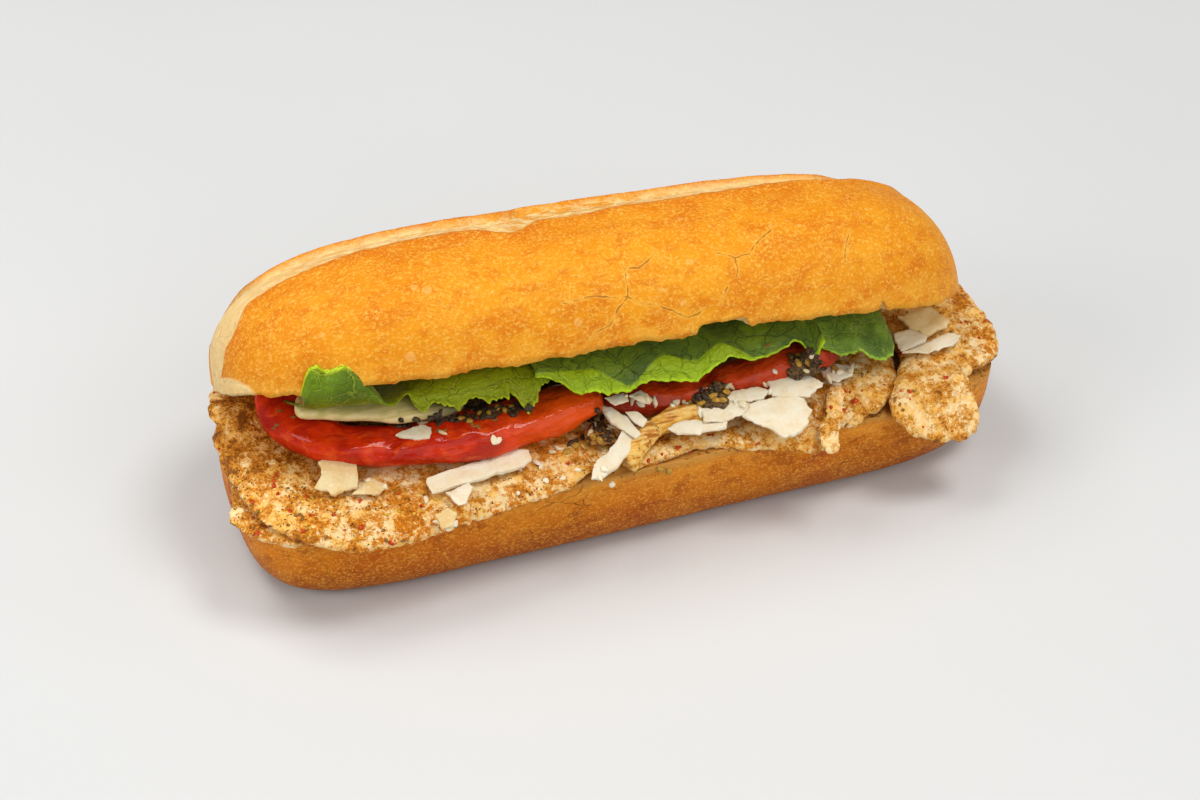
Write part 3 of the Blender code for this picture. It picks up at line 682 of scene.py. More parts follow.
# Cracks and blisters of the upper crust, as picture points. A blister also has its size in millimetres
CRACKS = [[(622, 263), (626, 275), (628, 297), (620, 306), (615, 315), (610, 325)],
          [(628, 297), (636, 303), (657, 305), (668, 309), (688, 317), (697, 314), (703, 309)],
          [(624, 269), (638, 268), (648, 261), (656, 251)],
          [(717, 253), (726, 255), (735, 258), (737, 268), (737, 277)],
          [(735, 258), (749, 253), (759, 240), (771, 230)],
          [(728, 287), (723, 296), (720, 305)],
          [(628, 297), (590, 297), (564, 304)],
          [(850, 230), (845, 248), (845, 262)],
          [(610, 325), (596, 332), (591, 339)]]
BLISTERS = [(690, 262, 1.3), (627, 276, 1.0), (662, 290, 1.0), (683, 302, 1.2), (680, 219, 1.0),
            (427, 290, 1.7), (414, 288, 1.2), (411, 357, 1.9), (578, 322, 1.4), (771, 226, 0.9),
            (710, 226, 0.8), (322, 335, 1.0)]


def skin_reader(mesh):
    """A function that tells how far along and round the crust the photograph shows a picture point."""
    tree = BVHTree.FromPolygons([v.co for v in mesh.vertices], [p.vertices for p in mesh.polygons])
    skin = [mesh.attributes[name].data for name in ("along", "around")]

    def read(across, down):
        hit, _, index, _ = tree.ray_cast(*picture_ray(across, down))
        corners = mesh.polygons[index].vertices
        shares = poly_3d_calc([mesh.vertices[corner].co for corner in corners], hit)
        return tuple(sum(mask[at].value * share for at, share in zip(corners, shares)) for mask in skin)

    return read


def make_roll():
    lid = lid_mesh()
    read = skin_reader(lid)
    cracks = [[read(*point) for point in line] for line in CRACKS]
    blisters = [(*read(across, down), size) for across, down, size in BLISTERS]
    top = crust_paint("crust_light", (0.75, 0.290, 0.007), (0.68, 0.220, 0.003), (0.58, 0.130, 0.002),
                      (0.82, 0.46, 0.070), (0.88, 0.62, 0.27), cracks, blisters)
    # The lower crust's crumb is given a dark colour: painted shade of the crevice under the fillings.
    bottom = crust_paint("crust_dark", (0.66, 0.190, 0.002), (0.54, 0.120, 0.001), (0.30, 0.048, 0.001),
                         (0.86, 0.40, 0.05), (0.56, 0.26, 0.05))
    new_piece("lid", lid, top, "roll_top", slot="crust_light")
    new_piece("base", base_mesh(), bottom, "roll_bottom", slot="crust_dark")


# Chicken, cheese and relish


def worked_up(node, voxel, smoothing, swells):
    """A finer copy of a CAD node's mesh, smoothed and then swollen by noises of (size, height, seed)."""
    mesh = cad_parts[node].data.copy()
    helper = bpy.data.objects.new("helper", mesh)
    SCENE.collection.objects.link(helper)
    remesh = helper.modifiers.new("fine", "REMESH")
    remesh.mode = "VOXEL"
    remesh.voxel_size = voxel * MM
    smooth = helper.modifiers.new("smooth", "SMOOTH")
    smooth.factor = 0.5
    smooth.iterations = smoothing
    fine = applied(helper)
    normals = [v.normal.copy() for v in fine.vertices]
    for vertex, normal in zip(fine.vertices, normals):
        at = vertex.co / MM
        height = sum(h * wobble(at, size, seed) for size, h, seed in swells)
        vertex.co += normal * height * MM
    return fine


def spice(at):
    """How much paprika lies at a place: most along the left's front edges and at the far right."""
    front = (0.50 - 0.42 * smoothstep(30, 75, at.x)) * smoothstep(-35, -43, at.y)
    end = 0.9 * smoothstep(107, 113, at.x) * smoothstep(-30, -22, at.y)
    left = 0.30 * smoothstep(-40, -85, at.x)
    pale = 0.26 * smoothstep(30, 80, at.x)
    return 0.38 + front + end + left - pale + 0.35 * wobble(at, 18, 21.0)


def sear(at):
    """How thick the brown seasoning lies at a place."""
    left = 0.45 * smoothstep(-60, -100, at.x)
    bare = 0.80 * smoothstep(4, 30, at.x) + 0.20 * smoothstep(80, 90, at.x)
    right = 1.15 * smoothstep(102, 112, at.x) * smoothstep(-30, -22, at.y)
    patch = 0.45 * hump(at.x, -28, 24) * smoothstep(-34, -26, at.y)
    patch += 0.5 * hump(at.x, 0, 14) * hump(at.y, -32, 6)
    return 0.45 + left - bare + right + patch + 0.3 * wobble(at, 15, 23.0)


def char(at):
    """The darkest browning: the far left end, beside the pepper, and spots on the right end."""
    left = smoothstep(-86, -104, at.x) * smoothstep(-30, -12, at.y + 0.25 * (at.x + 100))
    beside = 0.6 * hump(at.x, -92, 12) * hump(at.y, -26, 6)
    right = 0.5 * smoothstep(108, 116, at.x) * smoothstep(-28, -20, at.y)
    return (left + beside + right) * (0.75 + 0.6 * wobble(at, 8, 22.0))


def slab(outline, thickness, face, around, along, roundness, relief, ragged, smooth=True, masks=(), seed=0.0,
         inset=0.0):
    """A slice or shaving: its outline seen from above, and face, the height of its upper side.

    Relief and ragged are lists of noise sizes and depths, for the faces and for the edge, which lies inset
    from the outline.
    """
    centre = Vector((sum(p[0] for p in outline), sum(p[1] for p in outline))) / len(outline)
    rim = {}

    def on_outline(share):
        key = round(share * around) % around
        if key not in rim:
            if smooth:
                point = curve_point([(x, y, 0) for x, y in outline], key / around, closed=True).xy
            else:
                at = key / around * len(outline)
                here, onward = (Vector(outline[(int(at) + step) % len(outline)]) for step in (0, 1))
                point = here.lerp(onward, at % 1)
            outward = (point - centre).normalized()
            rough = sum(h * wobble((*point, 4), size, seed + size) for size, h in ragged)
            rim[key] = point + outward * (rough - inset)
        return rim[key]

    def place(co):
        share = (math.atan2(co.y, co.x) / math.tau + 1e-6) % 1
        reach = min(1.0, math.hypot(co.x, co.y)) ** (2 / roundness)
        x, y = centre.lerp(on_outline(share), reach)
        thick = thickness * (1 - 0.25 * reach)
        z = face(x, y) - thickness / 2 + signed_power(co.z, 2 / roundness) * thick / 2
        z += sum(h * wobble((x, y, 0 if co.z > 0 else 9), size, seed + size) for size, h in relief)
        at = Vector((x, y, z))
        return at, tuple(clamp(mask(at)) for mask in masks)

    return reshaped(ball(around, along), place, tuple(mask.__name__ for mask in masks))


def chicken_face(top, rise=0.13, left_rise=0.0, drop=0.8):
    """The height of a slice's upper face: it rises to the back and drops where it hangs over the rim."""

    def height(x, y):
        z = top + rise * (min(max(y, -BASE_HALF_WIDTH), 12.0) + 16) + left_rise * max(0.0, -85 - x)
        if y < -BASE_HALF_WIDTH:
            z += drop * (y + BASE_HALF_WIDTH)
        return z

    return height


def make_chicken():
    paint = chicken_paint()
    left_lower = [(-119, -9), (-122, -17), (-123, -23), (-121, -29), (-113, -36), (-103, -38), (-88, -38),
                  (-78, -28), (-80, -6), (-95, 8), (-110, 6)]
    left_upper = [(-118, 21), (-120, 8), (-121.5, -5), (-120.5, -16), (-115, -31), (-106, -39.5), (-92, -43),
                  (-75, -43.5), (-58, -42.5), (-42, -41), (-27, -39), (-15, -32.5), (-8, -28), (-4, -16),
                  (-9, 2), (-22, 18), (-50, 27), (-80, 31), (-106, 32)]
    middle = [(-12, -35), (-5, -37), (4, -36.5), (14, -36), (22, -38), (32, -40.5), (43, -43), (50, -44.5),
              (54, -41), (56, -30), (52, -5), (44, 20), (24, 33), (2, 31), (-12, 14), (-14, -12)]
    right_middle = [(50, -36), (55, -39.5), (61, -40), (68, -38.5), (74, -35.5), (79, -30.5), (83, -24),
                    (85, -12), (82, 8), (72, 26), (58, 31), (49, 18), (46, -4), (47, -24)]
    right_end = [(85, -17), (80, -27), (74, -35), (73, -40), (79, -46), (87, -49), (95, -48.5), (101, -46),
                 (100, -40), (102, -33), (110, -30), (115, -27), (119, -21), (120, -12), (119, 0), (114, 14),
                 (100, 24), (90, 18), (85, 2)]
    slices = [
        ("left_lower", left_lower, 4.6, chicken_face(35.8, 0.05, drop=0.55)),
        ("left_upper", left_upper, 6.4, chicken_face(39.0, left_rise=0.1)),
        ("middle", middle, 4.8, chicken_face(35.9, 0.06, drop=0.6)),
        ("right_middle", right_middle, 6.6, chicken_face(38.4, 0.08)),
        ("right_end", right_end, 7.4, chicken_face(40.2, 0.10, drop=0.95)),
    ]
    relief = [(12, 0.9), (5.5, 0.65), (2.4, 0.30), (1.3, 0.14)]
    ragged = [(7, 1.2), (3.0, 0.8), (1.4, 0.45)]
    for seed, (name, outline, thickness, face) in enumerate(slices, 1):
        around = 420 if name in ("left_upper", "right_end") else 300
        mesh = slab(outline, thickness, face, around, 100, 3.0, relief, ragged, masks=(spice, sear, char),
                    seed=seed, inset=SLICE_INSET)
        new_piece("meat_" + name, mesh, paint, "chicken_" + name, slot="chicken")
    curl = [(-10, -39, 35.5), (-6, -35, 38.2), (0, -31, 39.8), (7, -29, 40.3), (13, -29.5, 40.2),
            (17, -31, 39.8)]
    mesh = sweep(curl, 3.4, 1.2, 48, 160, 4.0, 0.9, 0.0, 0.3)
    new_piece("meat_curl", mesh, skin_paint(), "chicken_curl", slot="chicken")
    shred = [(59, -31, 40.0), (56, -35, 39.0), (54.5, -39, 37.6), (51.5, -42, 36.4), (50, -45.5, 34.6),
             (50, -49.0, 32.3)]
    mesh = sweep(shred, 2.6, 0.9, 48, 160, 4.0, 0.0, 0.0, 0.6)
    for mask in (spice, sear, char):
        add_mask(mesh, mask.__name__, [SHRED_SEASONING] * len(mesh.vertices))
    new_piece("meat_shred", mesh, paint, "chicken_shred", slot="chicken")


# Outline seen from above, height at the middle, slope up to the back and thickness of each shaving of cheese
SHAVINGS = [
    ([(-96, -20), (-91, -18.5), (-86, -19.5), (-86, -25), (-88, -28), (-94, -29), (-99, -26), (-96, -23)],
     43.6, 0.6, 2.4),
    ([(-89, -29), (-86, -25.5), (-82, -25), (-79, -28.5), (-82, -31)], 39.6, 0.13, 1.5),
    ([(-68, -30), (-53, -28.5), (-43, -26.5), (-37, -28.5), (-37, -31.5), (-40, -33), (-52, -34), (-68, -35)],
     40.0, 0.3, 2.0),
    ([(-64, -36), (-57, -34.5), (-56, -36), (-60, -41), (-62, -41.5)], 38.4, 0.15, 1.3),
    ([(-69, -41.5), (-65, -40.5), (-62.5, -42), (-65, -44.5), (-68, -44.5)], 35.2, 0.8, 1.3),
    ([(-74, -21.5), (-66, -19.5), (-63.5, -21.5), (-65, -25), (-72, -23)], 50.6, 0.25, 1.4),
    ([(-13, -22), (-10, -23), (-6.5, -28), (-5, -34), (-7, -34.5), (-12, -28)], 44.0, 0.25, 1.5),
    ([(-7, -26.5), (-3.5, -27.5), (-2, -31), (-4, -33), (-6, -30)], 44.8, 0.25, 1.3),
    ([(-9, -30.5), (-6, -33), (-8, -36), (-14, -40), (-21, -43), (-23, -42), (-21, -38.5), (-13, -34)],
     39.6, 0.45, 1.8),
    ([(4, -32.5), (9, -31), (17, -33.5), (22, -34.5), (21, -36.5), (12, -36.5), (6, -35)], 40.6, 0.2, 1.5),
    ([(15, -30), (21, -28.8), (27, -30), (31, -32), (27, -34.5), (20, -35), (15, -34)], 42.4, 0.3, 1.4),
    ([(22, -29), (27, -27), (34, -27.3), (37, -29.8), (34, -31.5), (28, -31)], 44.2, 0.3, 1.3),
    ([(26, -35), (31, -32), (41, -31.5), (46, -34.5), (47, -38), (44, -42), (41, -44), (36, -44.5),
      (31, -40)], 41.2, 0.35, 1.8),
    ([(38, -26), (43, -24.5), (48, -23.2), (50, -26), (54, -31), (48, -34.5), (41, -33), (37, -31.5)],
     44.3, 0.2, 1.6),
    ([(57, -21.5), (62, -21), (67, -23.5), (65.5, -27), (60, -28), (57, -25)], 41.0, 0.1, 2.4),
    ([(88.5, -9.5), (100, -8.5), (103, -16), (101, -18), (94, -19.5), (90, -15)], 43.8, 0.1, 1.8),
    ([(84, -15.5), (92, -14.5), (94, -19.5), (92, -21.5), (83, -23)], 42.6, 0.1, 1.4),
    ([(83.5, -23.5), (95, -21.5), (101, -20), (104, -22), (100, -25), (91, -26)], 42.2, 0.1, 1.3),
    ([(-12, -23), (-6, -22.5), (-5.5, -25.5), (-10, -26)], 48.6, 0.2, 1.2),
    ([(-5, -24), (-1, -22.8), (0.5, -25), (0, -28), (-3, -26)], 48.6, 0.2, 1.2),
]
YELLOW_SHAVINGS = (1, 2, 5, 16)


def make_cheese():
    yellow = cheese_paint("cheese_yellow", (0.77, 0.60, 0.31), (0.72, 0.49, 0.20))
    white = cheese_paint("cheese_white", (0.79, 0.71, 0.54), (0.76, 0.63, 0.42))
    relief = [(5.5, 0.55), (2.2, 0.16), (0.8, 0.05)]
    for number, (outline, middle, slope, thickness) in enumerate(SHAVINGS, 1):
        centre_y = sum(p[1] for p in outline) / len(outline)
        length = max(p[0] for p in outline) - min(p[0] for p in outline)
        ragged = [(2.2, min(0.6, 0.05 * length)), (1.0, min(0.3, 0.03 * length))]

        def face(x, y, c=centre_y, z=middle, s=slope):
            return z + s * (y - c)

        mesh = slab(outline, min(thickness, SHAVING_THICKNESS), face, 160, 36, 6.0, relief, ragged,
                    smooth=False, seed=number)
        paint = yellow if number in YELLOW_SHAVINGS else white
        new_piece(f"shaving_{number:02d}", mesh, paint, f"cheese_{number:02d}", slot="cheese")


def make_relish():
    paint = plain_paint("olive_relish", (0.020, 0.013, 0.009), (0.20, 0.105, 0.030), 1.0, 0.35, 0.6)
    spiced = plain_paint("spiced_relish", (0.46, 0.20, 0.035), (0.10, 0.045, 0.014), 1.2, 0.4, 0.6)
    for name in ("left", "middle", "right", "far"):
        mesh = worked_up("relish_" + name, 0.35, 1, [(2.2, 1.0, 7.0), (0.9, 0.5, 8.0)])
        if name == "middle":
            level = MIDDLE_RELISH_LEVEL * MM
            for vertex in mesh.vertices:
                vertex.co.z = level + MIDDLE_RELISH_FLATNESS * (vertex.co.z - level)
        finish = spiced if name == "middle" else paint
        new_piece("mash_" + name, mesh, finish, "relish_" + name, slot="relish")


# Pepper and leaf rib


def sweep(path, half_width, half_height, around, along, end, lean, crease, wrinkle):
    """The CAD's roll along a path, with wrinkles."""

    def place(co):
        station = clamp(co.z, -1.0, 1.0)
        share = (station + 1) / 2
        here = curve_point(path, share)
        ahead = curve_point(path, min(1.0, share + 0.01)) - curve_point(path, max(0.0, share - 0.01))
        ahead.z = 0
        side = Vector((-ahead.y, ahead.x, 0)).normalized()
        turn = math.atan2(co.y, co.x)
        width = taper(station, (end, end, end))
        lump = 1 + 0.10 * math.sin(9.0 * share + 1.0) + 0.06 * math.sin(23.0 * share)
        a = half_width * width * lump * math.cos(turn)
        b = half_height * width * (lump * math.sin(turn) - crease * max(0.0, math.cos(turn * 2 + 2.2)))
        point = here + side * (a * math.cos(lean) - b * math.sin(lean))
        point.z += a * math.sin(lean) + b
        coarse = wobble((share * 90, turn * 5, 0), 7, 1.0)
        fold = wrinkle * (coarse + 0.5 * wobble((share * 90, turn * 7, 0), 2.8, 2.0))
        return point + (point - here).normalized() * fold * width, ()

    return reshaped(ball(around, along), place)


def make_peppers():
    left = [(-94, 15, 47.5), (-98.5, 7, 47.0), (-99, -3, 46.5), (-92, -13, 46.0), (-81, -17.5, 44.9),
            (-69, -20.5, 44.2), (-56, -21, 44.0), (-43, -21, 44.0), (-31, -20, 44.5), (-20, -18.5, 45.2),
            (-12, -17.5, 45.5)]
    right = [(-9, -15, 42.0), (6, -18.5, 41.6), (20, -19.5, 41.8), (33, -19.5, 42.6), (46, -19, 44.2),
             (57, -18, 45.2), (62, -16, 45.4)]
    red = pepper_paint("pepper_red", (0.72, 0.032, 0.002), (0.42, 0.010, 0.001), (0.86, 0.100, 0.004),
                       (-60.0, -18.0))
    # The right strip gets a darker copy of the red paint: painted shade, as that strip lies in shade.
    brown = pepper_paint("pepper_red_painted_shade", (0.60, 0.050, 0.005), (0.36, 0.020, 0.003), (0.68, 0.120, 0.015))
    new_piece("strip_left", sweep(left, 8.0, 5.9, 72, 200, 4.5, -0.28, 0.10, 0.9), red, "pepper_left",
              slot="pepper")
    new_piece("strip_right", sweep(right, 7.0, 5.2, 64, 160, 4.0, -0.25, 0.08, 0.7), brown, "pepper_right",
              slot="pepper")
    rib = [(-98.5, -6, 55.3), (-90, -9, 54.8), (-78, -12.3, 53.4), (-66, -13.8, 52.2), (-52, -14.5, 51.5)]
    new_piece("rib", sweep(rib, 6.0, 2.9, 48, 120, 3.5, -0.2, 0.0, 0.15), rib_paint(), "lettuce_rib",
              slot="lettuce_rib")


# Lettuce


def tooth(along, spacing, seed):
    """The torn, toothed margin: 0 in the bays and up to 1 at the points."""
    place = along / spacing
    cell = math.floor(place)
    draw = random.Random(int(cell * 7 + seed * 101))
    peak, height = draw.uniform(0.25, 0.75), draw.uniform(0.3, 1.0)
    here = place - cell
    rise = here / peak if here < peak else (1 - here) / (1 - peak)
    return height * rise**2.6


def leaf(stations, inner, columns, rows, ruffle, phase, teeth, seed, curl, calm=0.0, bite=1.0):
    """The CAD's wavy sheet, finer, with a frilled and toothed front edge.

    Calm is how far along the leaf the frill stays low, and bite scales the teeth.
    """
    middle = [(x, *m) for x, m, _ in stations]
    edge = [(x, *e) for x, _, e in stations]
    length = stations[-1][0] - stations[0][0]
    bm = bmesh.new()
    bmesh.ops.create_grid(bm, x_segments=columns, y_segments=rows, size=1)
    layer = bm.loops.layers.uv.new("along_across")
    edges, curls, flat = [], [], {}
    for vertex in bm.verts:
        p, q = (vertex.co.x + 1) / 2, (vertex.co.y + 1) / 2
        m, e = curve_point(middle, p), curve_point(edge, p)
        i = Vector((m.x, *inner))
        bend = 2 * m - (i + e) / 2
        along = p * length
        point = i * (1 - q) ** 2 + bend * 2 * q * (1 - q) + e * q**2
        near_edge = smoothstep(0.80, 1.0, q)
        if calm:
            near_edge *= 0.35 + 0.65 * smoothstep(calm - 4, calm + 4, along)
        onward = (e - m).normalized()
        torn = 2.3 * bite * tooth(along, teeth, seed) + 0.9 * bite * tooth(along, 0.35 * teeth, seed + 5)
        point += onward * near_edge * (torn - 1.0)
        wave = ruffle * smoothstep(0.35, 1.0, q) * math.sin(p * phase[0] + phase[1])
        frill = 0.6 * wobble((along, 0, seed), 4.2, seed) + 0.25 * wobble((along, 0, seed), 1.8, seed)
        frill *= near_edge
        crinkle = 0.5 * wobble((along, q * 30, 0), 7, seed + 3)
        shift = Vector((0, 0.4 * wave, wave)) + Vector((0, -0.7, 0.5)) * frill
        point += shift + Vector((0, 0.4, 0.8)) * crinkle
        vertex.co = point * MM
        flat[vertex.index] = (along * MM, q * 36 * MM)
        edges.append(smoothstep(0.965, 0.99, q))
        fold = curl * max(0.0, 0.4 + wobble((along, 0, 0), 14, seed + 7))
        curls.append(smoothstep(1 - fold, 1.02 - fold, q) if fold > 0.02 else 0.0)
    for face in bm.faces:
        for loop in face.loops:
            loop[layer].uv = flat[loop.vert.index]
    mesh = bpy.data.meshes.new("leaf")
    bm.to_mesh(mesh)
    bm.free()
    add_mask(mesh, "edge", edges)
    add_mask(mesh, "curl", curls)
    sheet = bpy.data.objects.new("sheet", mesh)
    SCENE.collection.objects.link(sheet)
    solid = sheet.modifiers.new("thickness", "SOLIDIFY")
    solid.thickness = LEAF_THICKNESS * MM
    solid.offset = 0.0
    return applied(sheet)


def make_lettuce():
    left = [(-100, (-20, 66.5), (-21.0, 71)), (-97, (-21.5, 66.8), (-20.5, 79.5)),
            (-93, (-21.8, 66.2), (-20.5, 79)), (-88, (-21.8, 65.4), (-21, 78.5)),
            (-83, (-21.8, 64.6), (-22, 74.5)), (-79, (-21.3, 63.4), (-23.0, 68)),
            (-75, (-19.0, 62.0), (-23, 63)), (-70, (-16, 60.8), (-20, 62.5)),
            (-67, (-14, 60.2), (-20, 57)), (-61, (-13, 60.0), (-20, 57.2)),
            (-56, (-12, 59.6), (-21, 53.8)), (-50, (-12, 59.4), (-20, 55.8)),
            (-44, (-12, 59.2), (-20.5, 54.2)), (-40, (-12, 59), (-21.5, 55)),
            (-35.5, (-12, 58.9), (-25.5, 51.5)), (-32, (-12, 58.7), (-23, 56.6)),
            (-28, (-12, 58.5), (-21, 57.2)), (-22, (-11, 58.2), (-20, 57.6))]
    middle = [(-33, (-13, 61.2), (-23.5, 60)), (-27, (-13, 61.0), (-25, 59.6)),
              (-22, (-13.5, 60.8), (-26.5, 56)), (-17, (-14, 60.4), (-27.5, 54)),
              (-12, (-14, 60.2), (-27.5, 53)), (-6, (-14, 60.0), (-27.5, 54)),
              (0, (-14, 59.8), (-27.5, 53.6)), (7, (-14, 59.6), (-27.5, 52)),
              (14, (-14, 59.4), (-27.5, 52.8)), (19, (-14, 59.2), (-27.5, 53)),
              (25, (-14, 59.0), (-26.5, 55)), (33, (-14, 58.6), (-26.5, 54.2)),
              (41, (-14, 58.2), (-26.5, 54.2)), (47, (-13.5, 57.8), (-26.5, 55)),
              (51, (-13, 57.4), (-29.5, 52.8)), (55, (-12, 57.0), (-27.5, 55.5))]
    right = [(50, (-13, 54.0), (-25, 52)), (56, (-13, 53.8), (-26, 50.5)), (62, (-13, 53.0), (-27, 48.4)),
             (66, (-13, 52.2), (-27, 47.5)), (70, (-13, 51.4), (-27.5, 46.2)),
             (74, (-13, 50.6), (-28, 44.2)), (78, (-12, 49.6), (-27.5, 43.2)),
             (80.5, (-10, 49), (-24, 44.6))]
    # The left leaf is painted lighter from x -84 mm on: painted light on the stretch under the lid.
    yellow = lettuce_paint("leaf_bright", (0.130, 0.225, 0.001), (0.075, 0.135, 0.001), (0.36, 0.44, 0.01),
                           (0.42, 0.48, 0.04), painted_light=(-84.0, -70.0, (0.30, 0.38, 0.004)))
    green = lettuce_paint("leaf_green", (0.165, 0.265, 0.018), (0.085, 0.150, 0.020), (0.34, 0.50, 0.010),
                          (0.04, 0.08, 0.02))
    deep = lettuce_paint("leaf_deep", (0.190, 0.330, 0.040), (0.080, 0.160, 0.020), (0.26, 0.42, 0.03),
                         (0.28, 0.42, 0.07), 0.5)
    leaves = [
        ("left", leaf(left, (8, 47.5), 340, 60, 0.7, (34.0, 0.4), 5.0, 1.0, 0.05, calm=24.0), yellow),
        ("middle", leaf(middle, (9, 49.0), 340, 60, 0.9, (30.0, 1.2), 8.5, 2.0, 0.28, bite=0.6), green),
        ("right", leaf(right, (9, 46.2), 140, 60, 0.6, (16.0, 0.3), 5.0, 3.0, 0.05, bite=0.6), deep),
    ]
    for name, mesh, paint in leaves:
        new_piece("leaf_" + name, mesh, paint, "lettuce_" + name, slot="lettuce")


# Seeds, flakes and crumbs


def laid_on(depsgraph, origin, direction):
    """The first point of the dressed sandwich on a ray, in millimetres, with its normal and piece."""
    origin = origin * MM
    for _ in range(30):
        hit, point, normal, _, thing, _ = SCENE.ray_cast(depsgraph, origin, direction)
        if not hit:
            return None
        if thing.name in PIECES:
            return point / MM, normal, thing.name
        origin = point + direction * 0.02 * MM
    return None


def seen(depsgraph, across, down):
    """The place that the photograph shows at a picture point."""
    origin, direction = picture_ray(across, down)
    return laid_on(depsgraph, origin / MM, direction)


FLAKE_SIZE = (0.9, 2.6)
FLAKE_THICKNESS = 0.35


def drawn(draw, size):
    """A size, which is a number or a range to draw from."""
    return draw.uniform(*size) if isinstance(size, tuple) else size


def rounded_bit(draw, length, width, height, uneven=0.12, around=12, along=8):
    """A seed or grain lying along X."""
    points, faces = ball(around, along)
    seed = draw.uniform(0, 50)
    shaped = []
    for co in points:
        narrow = 1 - 0.25 * co.z
        lump = 1 + uneven * wobble(co, 0.8, seed)
        size = Vector((co.z * length / 2, co.x * width / 2 * narrow, co.y * height / 2 * narrow))
        shaped.append(size * lump)
    return shaped, faces


def flat_bit(draw, size, thickness, corners=8):
    """A flake with an uneven outline and a slight bend."""
    shape = [draw.uniform(0.5, 1.0) for _ in range(corners)]
    bend = draw.uniform(-0.15, 0.25)
    points = []
    for level in (-0.5, 0.5):
        for i, reach in enumerate(shape):
            angle = math.tau * i / corners
            x, y = reach * size / 2 * math.cos(angle), 0.75 * reach * size / 2 * math.sin(angle)
            points.append(Vector((x, y, level * thickness + bend * x * x / size)))
    faces = [tuple(range(corners))[::-1], tuple(range(corners, 2 * corners))]
    for i in range(corners):
        j = (i + 1) % corners
        faces.append((i, j, corners + j, corners + i))
    return points, faces


def one_bit(draw, sizes, shape):
    """A rounded bit of these sizes, or a flake where there are none."""
    if sizes is None:
        return flat_bit(draw, draw.uniform(*FLAKE_SIZE), FLAKE_THICKNESS)
    return rounded_bit(draw, *(drawn(draw, size) for size in sizes), **shape)


BIT_SINK = 0.35
BIT_TILT = 0.35


def scatter(name, places, make_bit, material, draw, slot=None):
    """One piece made of many bits, each lying at one of the places on what is already there."""
    points, faces = [], []
    for found in places:
        if found is None:
            continue
        place, normal, _ = found
        bit, bit_faces = make_bit()
        up = (normal + BIT_TILT * Vector((draw.uniform(-1, 1), draw.uniform(-1, 1), 0.5))).normalized()
        turn = up.to_track_quat("Z", "Y").to_matrix() @ Matrix.Rotation(draw.uniform(0, math.tau), 3, "Z")
        lift = (max(p.z for p in bit) - min(p.z for p in bit)) * (0.5 - BIT_SINK)
        start = len(points)
        points += [place + normal * lift + turn @ p for p in bit]
        faces += [tuple(start + k for k in face) for face in bit_faces]
    return new_piece(name, closed_mesh(points, faces), material, slot=slot)


def on_chicken(depsgraph, draw, count, weight):
    """Places seen from above on the chicken, more where weight is near 1."""
    places = []
    while len(places) < count:
        above = Vector((draw.uniform(-123, 121), draw.uniform(-50, 25), 150))
        found = laid_on(depsgraph, above, Vector((0, 0, -1)))
        if found and found[2].startswith("meat") and draw.random() < weight(found[0]):
            places.append(found)
    return places


# Where the photograph shows small things, as picture points
GOLD_SEEDS = [(800, 356), (798, 363), (807, 362), (818, 375), (692, 403), (702, 403), (716, 400),
              (726, 392), (713, 396), (722, 400), (461, 419), (505, 410), (497, 408), (512, 407),
              (468, 421), (480, 413), (489, 414), (520, 404), (593, 437), (600, 441), (586, 443),
              (575, 446), (606, 446), (567, 452), (842, 364), (835, 369), (856, 372), (668, 470),
              (660, 469), (1002, 331)]
SESAME = [(587, 429), (590, 433), (611, 427), (609, 430), (560, 449), (556, 447), (594, 426), (728, 386),
          (731, 387), (806, 371), (812, 355), (855, 367), (852, 366), (849, 371), (824, 382), (640, 397),
          (648, 400), (443, 433), (420, 422), (423, 423), (552, 452), (676, 404), (684, 403)]
RED_FLAKES = [(214, 393), (219, 449), (278, 472), (276, 476), (274, 481), (306, 497), (399, 494),
              (360, 501), (232, 503), (253, 518), (254, 535), (258, 533), (266, 527), (303, 531),
              (345, 530), (361, 527), (278, 494), (568, 464), (572, 463), (677, 448), (680, 447),
              (759, 443), (757, 444), (709, 435), (713, 435), (898, 350), (901, 353), (862, 391),
              (850, 392), (853, 402), (856, 401), (923, 427), (952, 431), (985, 321), (992, 321),
              (966, 322), (979, 338), (910, 399), (884, 385), (690, 452), (648, 461)]
HERB_BITS = [(239, 400), (275, 448), (287, 463), (300, 515), (302, 519), (288, 525), (326, 537),
             (332, 497), (345, 492), (288, 488), (293, 417), (274, 428), (277, 425), (279, 411),
             (437, 431), (445, 431), (476, 426), (479, 428), (494, 420), (496, 419), (472, 425),
             (768, 345), (895, 400), (900, 404), (890, 398), (903, 410), (913, 391), (915, 390),
             (868, 372), (862, 375), (951, 332), (846, 425), (650, 420), (386, 540)]
OLIVE_BITS = [(590, 421), (594, 417), (598, 424), (602, 419), (606, 427), (600, 431), (608, 433),
              (594, 427), (604, 437), (610, 440), (697, 396), (702, 391), (706, 397), (711, 392),
              (716, 388), (700, 400), (812, 352), (816, 357), (820, 362), (815, 366), (822, 368),
              (808, 350), (597, 410), (694, 399), (576, 441), (570, 444), (583, 438)]
CHEESE_CRUMBS = [(494, 440), (497, 441), (437, 522), (455, 524), (448, 530), (536, 463), (541, 466),
                 (546, 481), (518, 493), (563, 478), (600, 478), (605, 470), (612, 484), (650, 400),
                 (655, 402), (578, 470), (672, 406), (677, 402), (687, 404), (765, 384), (770, 392),
                 (829, 379), (836, 384), (840, 372), (833, 372), (426, 500), (368, 480), (385, 487),
                 (520, 470), (700, 412), (735, 402), (742, 404), (775, 372), (640, 404), (626, 396),
                 (632, 400)]


